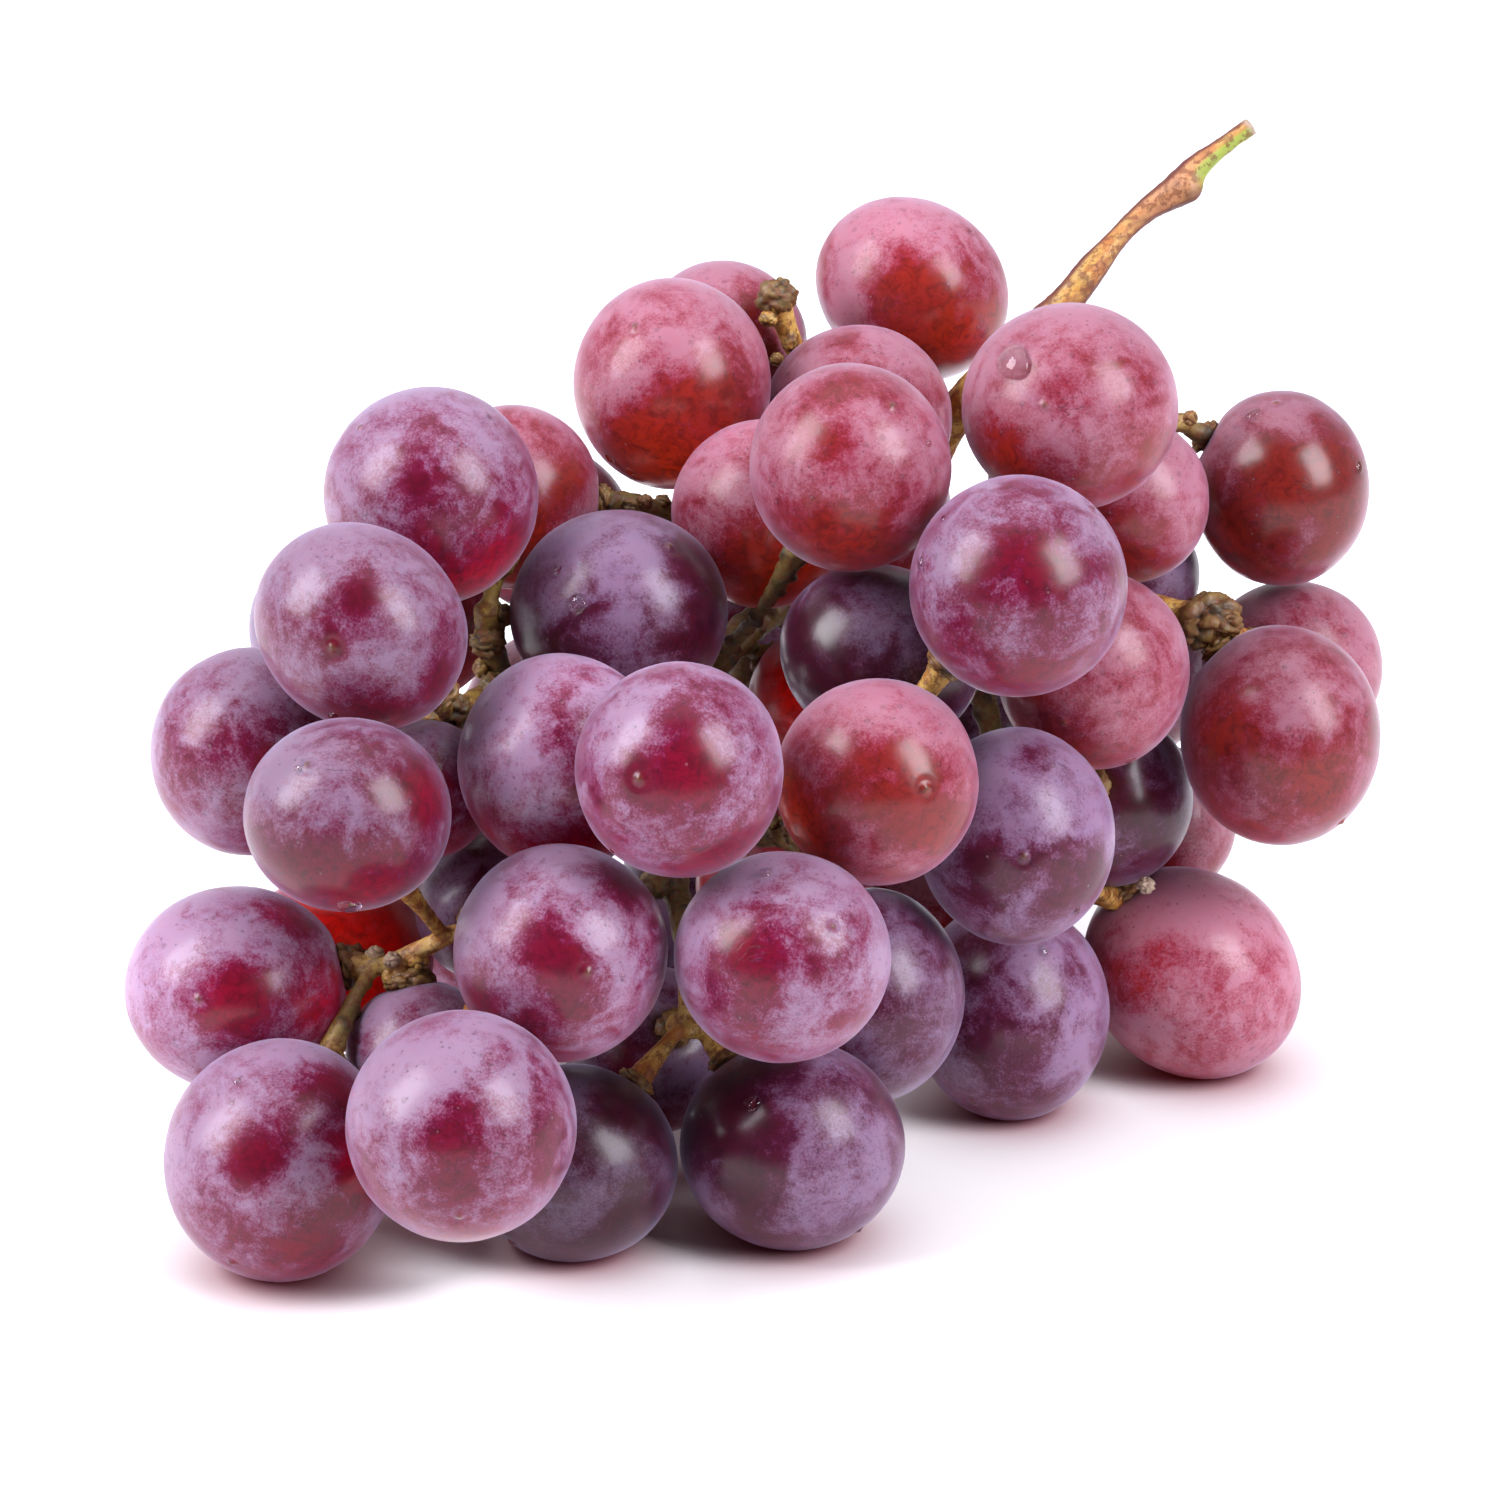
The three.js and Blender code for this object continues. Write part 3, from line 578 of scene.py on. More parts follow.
# Where the mask, the haze and the thick wax each begin and are full
WAX_LEVELS, HAZE_LEVELS, THICK_LEVELS = (-0.05, 1.0), (0.05, 0.60), (0.28, 1.08)
FINE_RELIEF = 0.5

bloom_tree, given, result = start_group(
    "waxy_bloom",
    [("Skin", COLOUR, (0.3, 0.02, 0.05, 1)), ("Haze", COLOUR, (0.3, 0.1, 0.2, 1)),
     ("Wax", COLOUR, (0.5, 0.35, 0.5, 1)), ("Amount", NUMBER, 0.5),
     ("Cover", NUMBER, 0.9)],
    [("Color", COLOUR), ("Mask", NUMBER), ("Height", NUMBER)])
place = object_place(bloom_tree)
lumps = 0.0
for scale, detail, roughness, distortion, share in WAX_LAYERS:
    layer = grain(bloom_tree, place, scale, detail, roughness, distortion)
    lumps = maths(bloom_tree, "ADD", times(bloom_tree, layer, share), lumps)
level = times(bloom_tree, maths(bloom_tree, "SUBTRACT", lumps, WAX_MEAN), WAX_CONTRAST)
level = maths(bloom_tree, "ADD", level, given["Amount"])
wax = stretch(bloom_tree, level, *WAX_LEVELS)
hazy = blend(bloom_tree, stretch(bloom_tree, level, *HAZE_LEVELS), given["Skin"], given["Haze"])
thick = times(bloom_tree, stretch(bloom_tree, level, *THICK_LEVELS), given["Cover"])
height = maths(bloom_tree, "ADD", wax, times(bloom_tree, layer, FINE_RELIEF))
bloom_tree.links.new(blend(bloom_tree, thick, hazy, given["Wax"]), result["Color"])
bloom_tree.links.new(wax, result["Mask"])
bloom_tree.links.new(height, result["Height"])
print("the bloom has", len(WAX_LAYERS), "layers")

# %% [markdown]
# ## Pores, freckles and scratches
# Up close, a grape has pale pores with a darker ring, a few brown freckles, and hair-thin scratches
# where twigs brushed it. Pores and freckles are the middles of cells, kept only where the cell's own
# random number is high. Scratches are a noise pulled long in one direction and cut to thin lines.

# %% Group: small marks of the skin
PORE_CELLS, PORE_KEEP = 520, 0.62  # cells in a metre, and the number over which a cell has a pore
FRECKLE_CELLS, FRECKLE_KEEP = 1200, 0.70
PORE_SIZE, RING_SIZE, FRECKLE_SIZE = (0.05, 0.12), (0.12, 0.26), (0.10, 0.28)  # full, and faded out
SCRATCH_TURN, SCRATCH_PULL = (0.5, 0.9, 0.3), (90, 1500, 500)
SCRATCH_WIDTH = (0.004, 0.014)
SCRATCHED = (0.56, 0.68)  # of a slow noise, where there are scratches
SCRATCH_DEEP = 0.6
RING_BROWN, FRECKLE_BROWN = (0.022, 0.002, 0.006, 1), (0.016, 0.002, 0.007, 1)
SCRATCH_BROWN, PORE_PALE = (0.020, 0.002, 0.007, 1), (0.22, 0.10, 0.13, 1)

marks_tree, given, result = start_group(
    "skin_marks", [("Color", COLOUR, (0.3, 0.02, 0.05, 1)), ("Freckles", NUMBER, 0.7)],
    [("Color", COLOUR), ("Height", NUMBER)])
place = object_place(marks_tree)


def dots(cells_in_a_metre, keep, size):
    """A mask of round dots, in the share of cells whose random number is over keep. A dot is 1 within the
    first size of a cell's middle and 0 past the second."""
    cells = node(marks_tree, "ShaderNodeTexVoronoi", {"Vector": place, "Scale": cells_in_a_metre})
    spot = stretch(marks_tree, cells.outputs["Distance"], *size, 1.0, 0.0)
    chance = node(marks_tree, "ShaderNodeSeparateColor", {0: cells.outputs["Color"]}).outputs[0]
    return times(marks_tree, spot, maths(marks_tree, "GREATER_THAN", chance, keep))


pores = dots(PORE_CELLS, PORE_KEEP, PORE_SIZE)
rings = times(marks_tree, dots(PORE_CELLS, PORE_KEEP, RING_SIZE), given["Freckles"])
freckles = times(marks_tree, dots(FRECKLE_CELLS, FRECKLE_KEEP, FRECKLE_SIZE), given["Freckles"])
turned = node(marks_tree, "ShaderNodeMapping", {"Vector": place, "Rotation": SCRATCH_TURN,
                                                "Scale": SCRATCH_PULL}).outputs[0]
strands = maths(marks_tree, "SUBTRACT", grain(marks_tree, turned, 1.0, 2, 0.5, 0.4), 0.5)
scratch = stretch(marks_tree, maths(marks_tree, "ABSOLUTE", strands), *SCRATCH_WIDTH, 1.0, 0.0)
scratch = times(marks_tree, scratch, stretch(marks_tree, grain(marks_tree, place, 120, 2), *SCRATCHED))
marked = given["Color"]
for mask, share, stain in ((rings, 0.38, RING_BROWN), (freckles, 0.65, FRECKLE_BROWN),
                           (scratch, 0.5, SCRATCH_BROWN), (pores, 0.45, PORE_PALE)):
    marked = blend(marks_tree, times(marks_tree, mask, share), marked, stain)
relief = maths(marks_tree, "SUBTRACT", pores, times(marks_tree, scratch, SCRATCH_DEEP))
marks_tree.links.new(marked, result["Color"])
marks_tree.links.new(relief, result["Height"])

# %% [markdown]
# ## The skins
# Light enters a grape, wanders through the wet flesh and comes out redder, so the skin is a subsurface
# material: red travels millimetres, green and blue hardly at all. A coat blurs the lamps to pale patches,
# and under it the wax is duller than the clean skin. A faint blue sheen stands for the wax seen edge on.
# Darker threads of flesh show through where the skin is clean, and a glowing patch shines a little by
# itself, since light comes through it from behind. Four skins share this recipe, from rose to plum, each
# with its own colours and share of wax.

# %% Skin materials
SKIN_FINISHES = {
    # slot: (clean skin, glowing skin, haze, wax, cover of wax)
    "rose_skin": ((0.140, 0.008, 0.009, 1), (0.27, 0.012, 0.002, 1), (0.185, 0.012, 0.036, 1),
                  (0.286, 0.115, 0.164, 1), 0.92),
    "crimson_skin": ((0.092, 0.001, 0.014, 1), (0.25, 0.0, 0.010, 1), (0.130, 0.004, 0.042, 1),
                     (0.238, 0.144, 0.232, 1), 0.95),
    "plum_skin": ((0.045, 0.002, 0.012, 1), (0.07, 0.001, 0.004, 1), (0.068, 0.005, 0.032, 1),
                  (0.165, 0.098, 0.174, 1), 0.9),
    "scarlet_skin": ((0.24, 0.002, 0.003, 1), (0.30, 0.003, 0.001, 1), (0.22, 0.016, 0.024, 1),
                     (0.25, 0.060, 0.10, 1), 0.6),
}
WARMER = (1.25, 1.5, 0.8)  # the red, green and blue of the warmest grapes, times the clean skin's
VEINS = (0.42, 0.42, 0.42)
BLACK, SCAR_COLOUR = (0, 0, 0, 1), (0.07, 0.028, 0.010, 1)
SKIN_ROUGHNESS, WAX_ROUGHNESS = 0.28, 0.44
WAX_THICKNESS = 0.06 * MM
SCATTER = (1.0, 0.22, 0.16)  # how far red, green and blue light travel, times the scale
SKIN_SHADER = {
    "Subsurface Weight": 0.6, "Subsurface Radius": SCATTER, "Subsurface Scale": 4.5 * MM, "IOR": 1.31,
    "Coat Weight": 0.25, "Coat Roughness": 0.20, "Coat IOR": 1.45, "Emission Strength": 0.85,
    "Sheen Weight": 0.32, "Sheen Roughness": 0.35, "Sheen Tint": (0.72, 0.70, 1.0, 1),
}


def new_material(name):
    """A new material, its tree of nodes and its Principled shader."""
    material = bpy.data.materials.new(name)
    material.use_nodes = True
    return material, material.node_tree, material.node_tree.nodes["Principled BSDF"]


def mark(tree, name):
    """The socket that reads a number painted on the points."""
    return node(tree, "ShaderNodeAttribute", attribute_name=name).outputs["Fac"]


def times_colour(colour, factors):
    """A colour with its red, green and blue times the factors, and none of them over 1."""
    return tuple(min(1.0, part * factor) for part, factor in zip(colour[:3], factors)) + (1,)


def skin_material(name, clean, glowing, haze, wax, cover):
    """A grape skin: clean skin that turns to its glowing colour, under bloom, with small marks, and a
    brown scar at each end."""
    material, tree, shader = new_material(name)
    skin = blend(tree, times(tree, mark(tree, "tint"), 0.6), clean, times_colour(clean, WARMER))
    skin = blend(tree, mark(tree, "glow"), skin, glowing)
    veins = stretch(tree, grain(tree, object_place(tree), 620, 5, 0.72, 1.2), 0.40, 0.66, 0, 0.6)
    skin = blend(tree, veins, skin, times_colour(clean, VEINS))
    bloomed = node(tree, "ShaderNodeGroup", {"Skin": skin, "Haze": haze, "Wax": wax, "Cover": cover,
                                             "Amount": mark(tree, "bloom")}, node_tree=bloom_tree)
    marked = node(tree, "ShaderNodeGroup", {"Color": bloomed.outputs["Color"]}, node_tree=marks_tree)
    lightness = maths(tree, "ADD", mark(tree, "lightness"), LIGHTNESS_SHIFT)
    own = node(tree, "ShaderNodeVectorMath", {"Vector": marked.outputs["Color"], "Scale": lightness},
               operation="SCALE").outputs[0]
    height = maths(tree, "ADD", times(tree, bloomed.outputs["Height"], 0.5), marked.outputs["Height"])
    bump = node(tree, "ShaderNodeBump", {"Strength": 0.35, "Distance": WAX_THICKNESS, "Height": height})
    feed(tree, shader, {
        "Base Color": blend(tree, mark(tree, "scar"), own, SCAR_COLOUR),
        "Roughness": stretch(tree, bloomed.outputs["Mask"], 0.0, 1.0, SKIN_ROUGHNESS, WAX_ROUGHNESS),
        "Normal": bump.outputs[0],
        "Emission Color": blend(tree, mark(tree, "glow"), BLACK, blend(tree, veins, glowing, BLACK)),
        **SKIN_SHADER})
    return material


finishes = {name: skin_material(name, *values) for name, values in SKIN_FINISHES.items()}
slot_of = {sub["node"]: sub["material_slot"] for sub in frame["record"].get("subparts", [])}
for name, skin in zip(GRAPES, skins.values()):
    skin.data.materials.append(finishes[slot_of[name]])
print(len(finishes), "finishes on", len(skins), "grapes")

# %% [markdown]
# ## The stalk
# The stalk grew as one branching piece, so its surface can't be one tube along a path. A copy of the
# CAD stalk is remeshed in small voxels instead, which melts its flat-sided limbs into one skin with
# soft joints. Smoothing thins the twigs, so the points are pushed out again along their normals, and
# then uneven bark is raised on them: long swellings, small warts on the older wood inside, and the
# swollen scar of a bud. The places on it are given as the eye sees them, and found on the wood.

# %% Stalk: remesh a copy of the solid
VOXEL = 0.42 * MM
SAME_POINT = 0.001 * MM
SMOOTHING, SMOOTH_PASSES = 0.5, 5


def stalk_surface():
    """The CAD stalk, merged, remeshed and smoothed, as a mesh, its points and their normals."""
    copy = bpy.data.objects.new("stalk_draft", frame["nodes"]["stalk"].data.copy())
    bpy.context.scene.collection.objects.link(copy)
    merge = copy.modifiers.new("merge", "WELD")
    merge.merge_threshold = SAME_POINT
    remesh = copy.modifiers.new("remesh", "REMESH")
    remesh.mode, remesh.voxel_size = "VOXEL", VOXEL
    smooth = copy.modifiers.new("smooth", "SMOOTH")
    smooth.factor, smooth.iterations = SMOOTHING, SMOOTH_PASSES
    made = bpy.data.meshes.new_from_object(copy.evaluated_get(bpy.context.evaluated_depsgraph_get()))
    bpy.data.objects.remove(copy)
    points, normals = np.empty(len(made.vertices) * 3), np.empty(len(made.vertices) * 3)
    made.vertices.foreach_get("co", points)
    made.vertices.foreach_get("normal", normals)
    return made, points.reshape(-1, 3), normals.reshape(-1, 3)


bark, bark_points, bark_normals = stalk_surface()
print("the stalk has", len(bark_points), "points")

# %% Stalk: raise its bark
FRONT_FIRST = 0.03  # a millimetre farther from the eye counts like this many off its line of sight
STEM_TIP = in_view(58.3, 72.5, 10)
BUNCH_MIDDLE = in_view(-4, 0, 4)
SHADED_WOOD = [(-45.3, -30.5), (52.4, 36.2)]  # twigs in the shade between grapes, across and up in mm
SHADE_REACH = 5 * MM
YOUNG_PAST, OLD_WITHIN = 46 * MM, 30 * MM  # from the middle of the bunch
FATTEN = 0.16 * MM
SWELLING, SWELLING_SIZE = 0.09 * MM, 7 * MM
WART_SIZE, YOUNG_WARTS, OLD_WARTS = 2.2 * MM, 0.03 * MM, 0.25 * MM
STEM_SLIMMER, THICK_PAST, THIN_WITHIN = 0.34 * MM, 30 * MM, 20 * MM  # from its tip
BUD_HEIGHT, BUD_WIDTH = 0.66 * MM, 1.7 * MM


def on_wood(across, up):
    """The point of the bark nearest to the line of sight at (across, up), and of like ones the frontmost."""
    sight = unit(in_view(across, up, 0) - EYE)
    spoke = bark_points - EYE
    far = spoke @ sight
    off_line = np.linalg.norm(spoke - far[:, None] * sight, axis=1)
    return bark_points[np.argmin(off_line + FRONT_FIRST * far)]


def bark_from(spot):
    """How far each point of the bark is from a spot."""
    return np.linalg.norm(bark_points - spot, axis=1)


bud_scar = on_wood(51.7, 64.8)
from_tip = bark_from(STEM_TIP)
old_and_shaded_wood = soft_step(YOUNG_PAST, OLD_WITHIN, bark_from(BUNCH_MIDDLE))
# Painted shade: twigs in the shade between grapes take the dark finish of old wood.
for spot in SHADED_WOOD:
    old_and_shaded_wood = np.maximum(old_and_shaded_wood, bell(bark_from(on_wood(*spot)), SHADE_REACH))
warts = np.maximum(0, clouds(bark_points, WART_SIZE, 5)) ** 1.5
raised = FATTEN + SWELLING * clouds(bark_points, SWELLING_SIZE, 3)
raised = raised + (YOUNG_WARTS + OLD_WARTS * old_and_shaded_wood) * warts
raised = raised - STEM_SLIMMER * soft_step(THICK_PAST, THIN_WITHIN, from_tip)
raised = raised + BUD_HEIGHT * bell(bark_from(bud_scar), BUD_WIDTH)
bark_points = bark_points + bark_normals * raised[:, None]
bark_points[:, 2] = np.maximum(bark_points[:, 2], 0.0)
bark.vertices.foreach_set("co", bark_points.astype(np.float32).ravel())
bark.shade_smooth()
stalk = bpy.data.objects.new("stalk_bark", bark)
bpy.context.scene.collection.objects.link(stalk)
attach(stalk, "root")
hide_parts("stalk")
print(f"the bark is raised by {raised.min() / MM:.2f} to {raised.max() / MM:.2f} mm")

# %% Stalk: where it is green, pink, scarred, cut and old, and where shade is painted
GREEN_FROM, GREEN_FULL = 0.2 * MM, 2.2 * MM  # past the bud scar
CUT_FROM, CUT_FULL = 1.0 * MM, 0.5 * MM  # from the tip, along the stem
SIDE_SHADE_PAST, SIDE_SHADE_WITHIN = 40 * MM, 34 * MM  # from the tip
PINK_REACH, SCARRED_REACH = 7 * MM, 1.3 * MM

along = unit(STEM_TIP - in_view(50.4, 65.6, 10))
beside = unit(np.cross(AHEAD, along))  # to the lower right of the stem, as the eye sees it
green = soft_step(GREEN_FROM, GREEN_FULL, (bark_points - bud_scar) @ along)
# The old wood, and the twigs in painted shade, take a share of olive green as well.
green = np.maximum(green * soft_step(-0.30, 0.25, bark_normals @ beside), 0.4 * old_and_shaded_wood)
# Painted shade: near its tip, the stem is darker along both its sides as the eye sees them, where its round
# surface turns away.
side_shade = soft_step(0.45, 0.95, np.abs(bark_normals @ beside)) * soft_step(SIDE_SHADE_PAST, SIDE_SHADE_WITHIN, from_tip)
scarred = bell(bark_from(bud_scar), SCARRED_REACH)
paint(bark, {"green": green, "old_and_shaded": old_and_shaded_wood, "wart_and_crease_shade": warts * (0.25 + 0.75 * old_and_shaded_wood) + 0.6 * scarred,
             "cut": soft_step(CUT_FROM, CUT_FULL, (STEM_TIP - bark_points) @ along),
             "pink": bell(bark_from(on_wood(49.5, 64.9)), PINK_REACH), "side_shade": side_shade})
print("the stalk has", len(bark.polygons), "faces")

# %% [markdown]
# ## Knots, cups and scars on the stalk
# Where a grape hangs, the twig ends in a warty brown cup, and where a grape fell off, that cup stays
# as a dry ball. These knobs are too fine for the voxels. Each is a small globe whose radius is lifted by
# cloudy waves, and where a wave passes through its middle, the radius falls into a crease, which is painted
# dark: partly the wood's own brown and partly painted shade. One mesh holds them all, since they are of one
# kind and stay where the stalk is.

# %% Knots: warty globes along the stalk
KNOT_TILTS = np.linspace(0, math.pi, 26)[1:-1]
KNOT_SIDES = 34
ON_WOOD = None  # a depth: on the front of the wood that the eye sees there
# across, up, deep, wide and tall in mm as the eye sees them, then warts, age, paleness and seed
KNOTS = [
    (3.1, 52.5, 18, 2.15, 2.0, 0.38, 1, 0, 1), (2.1, 50.0, 16.8, 1.05, 0.9, 0.15, 0.1, 0, 2),
    (3.1, 45.3, 17.5, 0.8, 0.75, 0.2, 0.3, 0, 4), (4.6, 47.6, 18.8, 1.0, 1.5, 0.1, 0.1, 0, 3),
    (53.2, 15.2, -1, 3.2, 2.5, 0.5, 0.85, 0, 5), (51.7, 14.0, -1.5, 2.1, 2.0, 0.5, 0.95, 0, 6),
    (54.8, 14.8, -1.2, 1.9, 1.8, 0.45, 0.7, 0, 7), (51.1, 38.5, 1, 0.8, 0.8, 0.3, 0.6, 0, 8),
    (-34.2, 4.6, ON_WOOD, 1.7, 1.6, 0.4, 1, 0, 9), (-30.4, 12.4, ON_WOOD, 1.8, 1.6, 0.4, 0.9, 0, 10),
    (-29.6, 7.4, ON_WOOD, 1.6, 1.4, 0.4, 1, 0, 11), (-28.4, 15.6, ON_WOOD, 1.2, 1.1, 0.4, 0.9, 0, 12),
    (-31.6, 9.6, ON_WOOD, 1.1, 1.1, 0.4, 0.6, 0, 13), (-13.9, 28.4, ON_WOOD, 0.9, 0.8, 0.4, 0.9, 0, 14),
    (-12.2, 28.9, ON_WOOD, 0.9, 0.8, 0.4, 0.8, 0, 15), (-10.2, 28.7, ON_WOOD, 0.9, 0.8, 0.4, 0.9, 0, 16),
    (4.1, -9.3, ON_WOOD, 1.6, 1.4, 0.4, 0.8, 0, 17), (-43.6, -23.6, ON_WOOD, 1.0, 0.9, 0.3, 0.3, 0.6, 18),
    (-41.4, -24.3, ON_WOOD, 0.9, 0.8, 0.35, 0.3, 0.7, 19),
    (-42.3, -26.6, ON_WOOD, 0.85, 1.15, 0.08, 0, 0, 20),
    (-38.6, -24.4, ON_WOOD, 1.15, 1.0, 0.3, 0.1, 0, 21), (42.6, -5.6, 6, 1.1, 1.0, 0.5, 0.1, 0.9, 22),
    (45.9, -15.7, -1, 0.9, 0.8, 0.5, 0.1, 0.9, 23), (-36.6, -27.2, ON_WOOD, 2.0, 1.5, 0.3, 0.9, 0, 24),
]
CUP_WIDE, CUP_TALL, CUP_OUT = 1.95 * MM, 1.05 * MM, 0.15 * MM
CUP_WARTS, CUP_AGE, CUP_SEED = 0.3, 0.75, 100
LARGE_CUPS, LARGER = (31, 41), 1.2
CREASE_SIZE, CREASE_SHARP, CREASE_POWER = 1.1, 1.6, 0.6
FINE_SIZE, FINE_ROUGH, FINE_SEED = 0.35, 0.08, 50
CREASE_FROM, CREASE_FULL = 0.25, 0.85


def knot(centre, axis, wide, tall, rough, seed):
    """Points of a warty globe, its axis tall and the rest wide, and how deep each lies in a crease. The
    radius is one, less half of rough, plus rough times a power of the size of a cloudy wave, so the
    creases are where the wave is zero, and finer clouds are added."""
    directions = globe_directions(axis, KNOT_TILTS, KNOT_SIDES)
    wave = np.minimum(1, np.abs(clouds(directions, CREASE_SIZE, seed)) * CREASE_SHARP)
    radius = 1 - rough / 2 + rough * wave**CREASE_POWER
    radius = radius + FINE_ROUGH * clouds(directions, FINE_SIZE, seed + FINE_SEED)
    upright = directions @ axis
    flat = directions - upright[:, None] * axis
    return centre + radius[:, None] * (flat * wide + (upright * tall)[:, None] * axis), 1 - wave


made_knots = []  # points, creases, age and paleness of each
for across, up, deep, wide, tall, rough, age, paleness, seed in KNOTS:
    middle = on_wood(across, up) if deep is ON_WOOD else in_view(across, up, deep)
    made_knots.append((*knot(middle, UPWARD, wide * MM, tall * MM, rough, seed), age, paleness))
for number, grape in enumerate(grapes.values(), 1):
    axis = grape["stalk_end"]
    middle = grape["centre"] + axis * (radius_of(grape, axis[None])[0] + CUP_OUT)
    size = LARGER if number in LARGE_CUPS else 1.0
    made_knots.append((*knot(middle, axis, CUP_WIDE * size, CUP_TALL * size, CUP_WARTS, CUP_SEED + number),
                       CUP_AGE, 0))
each_points, each_creases, ages, palenesses = zip(*made_knots)
per_knot = len(each_points[0])
knot_points = np.concatenate(each_points)
knot_points[:, 2] = np.maximum(knot_points[:, 2], 0.0)
knot_faces = copies_of(globe_faces(len(KNOT_TILTS), KNOT_SIDES), len(made_knots), per_knot)
none = np.zeros(len(knot_points))
# The creases are painted dark: partly the wood's own brown, partly painted shade.
knots = mesh_piece("stalk_knots", knot_points, knot_faces, {
    "green": none, "old_and_shaded": np.repeat(ages, per_knot), "cut": np.repeat(palenesses, per_knot), "pink": none,
    "wart_and_crease_shade": soft_step(CREASE_FROM, CREASE_FULL, np.concatenate(each_creases)), "side_shade": none})
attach(knots, "root")
print(len(made_knots), "knots with", len(knot_faces), "faces")

# %% [markdown]
# ## The finish of the stalk
# The stem is tan and ochre, streaked and flecked with rusty brown and with pale straw, whose streaks also
# stand in for its highlights, so they are partly painted highlight. It is pinkish below its bud scar, fresh
# green on the underside of its tip, and darker along both sides as the eye sees them, which is painted shade
# of its round surface. Inside the bunch the wood is older: olive, then brown and nearly black in the
# creases, which is partly the wood's own brown and partly painted shade. Twigs that lie in the shade between
# grapes take that dark old finish too, as painted shade. Those changes were painted on the points, because
# they belong to places, and the flecks and fibres come from noise, because they are everywhere. The streaks
# are a noise that is turned to the stem's own direction and pulled long.

# %% Stalk finish
TAN, OCHRE = (0.34, 0.115, 0.014, 1), (0.46, 0.265, 0.055, 1)
RUST, STRAW_AND_HIGHLIGHT = (0.20, 0.045, 0.010, 1), (0.60, 0.42, 0.16, 1)
STEM_PINK, STEM_SIDE_SHADE, LEAF_GREEN = (0.40, 0.165, 0.085, 1), (0.10, 0.012, 0.010, 1), (0.245, 0.30, 0.035, 1)
OLIVE, OLD_AND_SHADED_BROWN, DARK_WART_AND_CREASE_SHADE = (0.060, 0.040, 0.010, 1), (0.175, 0.095, 0.028, 1), (0.022, 0.011, 0.005, 1)
FLECK_BROWN, FRESH_CUT = (0.13, 0.034, 0.009, 1), (0.30, 0.215, 0.165, 1)
STEM_TURN = Matrix(np.stack(axes_about(along) + (along,), 1).tolist()).to_euler()
STREAK_PULL = (1, 1, 4.5)
FIBRE_HEIGHT = 0.2 * MM

wood, tree, bark_shader = new_material("stalk_bark")
place = object_place(tree)
lengthwise = node(tree, "ShaderNodeMapping", {"Vector": place, "Rotation": STEM_TURN, "Scale": STREAK_PULL},
                  vector_type="TEXTURE").outputs[0]
streaks = grain(tree, lengthwise, 900, 4, 0.7)
fibres = grain(tree, place, 1900, 4, 0.65)
old_and_shaded_tone = times(tree, stretch(tree, grain(tree, place, 700, 3, 0.6), 0.42, 0.62), mark(tree, "old_and_shaded"))
bark_colour = blend(tree, stretch(tree, grain(tree, place, 330, 4, 0.65), 0.40, 0.60), TAN, OCHRE)
for amount, layer in (
        (stretch(tree, streaks, 0.50, 0.62, 0, 0.55), RUST),
        # Pale straw streaks: partly the wood's own colour, partly painted highlight along the stem.
        (stretch(tree, streaks, 0.46, 0.36, 0, 0.5), STRAW_AND_HIGHLIGHT),
        (times(tree, mark(tree, "pink"), 0.8), STEM_PINK),
        (mark(tree, "side_shade"), STEM_SIDE_SHADE),
        (mark(tree, "green"), LEAF_GREEN),
        (times(tree, mark(tree, "old_and_shaded"), 0.85), OLIVE),
        (times(tree, old_and_shaded_tone, 0.7), OLD_AND_SHADED_BROWN),
        (times(tree, mark(tree, "wart_and_crease_shade"), 0.85), DARK_WART_AND_CREASE_SHADE),
        (stretch(tree, grain(tree, place, 950, 4, 0.7), 0.49, 0.58, 0, 0.72), FLECK_BROWN),
        (mark(tree, "cut"), FRESH_CUT)):
    bark_colour = blend(tree, amount, bark_colour, layer)
bump = node(tree, "ShaderNodeBump", {"Strength": 0.5, "Distance": FIBRE_HEIGHT, "Height": fibres})
feed(tree, bark_shader, {"Base Color": bark_colour, "Normal": bump.outputs[0],
                         "Roughness": stretch(tree, fibres, 0.3, 0.7, 0.42, 0.68)})
for piece in (stalk, knots):
    piece.data.materials.clear()
    piece.data.materials.append(wood)
print("one finish on the stalk and its knots")

# %% [markdown]
# ## Drops of water
# The bunch was rinsed, and a few drops still cling to it. A drop on wax is a low lens that bends what
# lies under it and catches one small light. Each is worked out on the skin itself: a disc of points
# round a spot, raised in the middle and closed below, just under the skin.

# %% Water drops as (grape, across, up, radius in mm)
DROPS = [(7, -0.56, 0.36, 2.2), (15, -0.56, 0.38, 0.6), (15, -0.36, 0.05, 1.1), (20, -0.90, 0.20, 0.7),
         (20, -0.69, 0.60, 0.45), (23, -0.36, 0.74, 0.9), (23, 0.80, 0.20, 0.8), (36, -0.37, 0.43, 1.0),
         (32, 0.27, 0.59, 0.8), (34, -0.18, 0.80, 0.9), (25, 0.35, -0.90, 0.7), (11, -0.23, -0.88, 0.8),
         (13, 0.05, -0.92, 1.3), (13, -0.43, 0.46, 0.4), (3, -0.60, -0.74, 0.7), (3, -0.40, -0.86, 0.6),
         (18, -0.62, -0.75, 0.4), (12, 0.20, -0.20, 0.35), (28, 0.55, -0.70, 0.5), (40, -0.30, 0.70, 0.5),
         (10, 0.55, 0.70, 0.5), (5, 0.75, 0.20, 0.5), (1, 0.62, 0.60, 0.5), (35, 0.60, -0.20, 0.4)]
DROP_RINGS, DROP_SIDES = 18, 28
DROP_HEIGHT = 0.5  # of its radius
DROP_SUNK = 0.08 * MM
DROP_OVAL, DROP_LOBES = 0.10, 0.06  # how far its outline departs from a circle
WATER = {"Transmission Weight": 1.0, "IOR": 1.333, "Roughness": 0.02, "Base Color": (1, 0.97, 0.98, 1)}


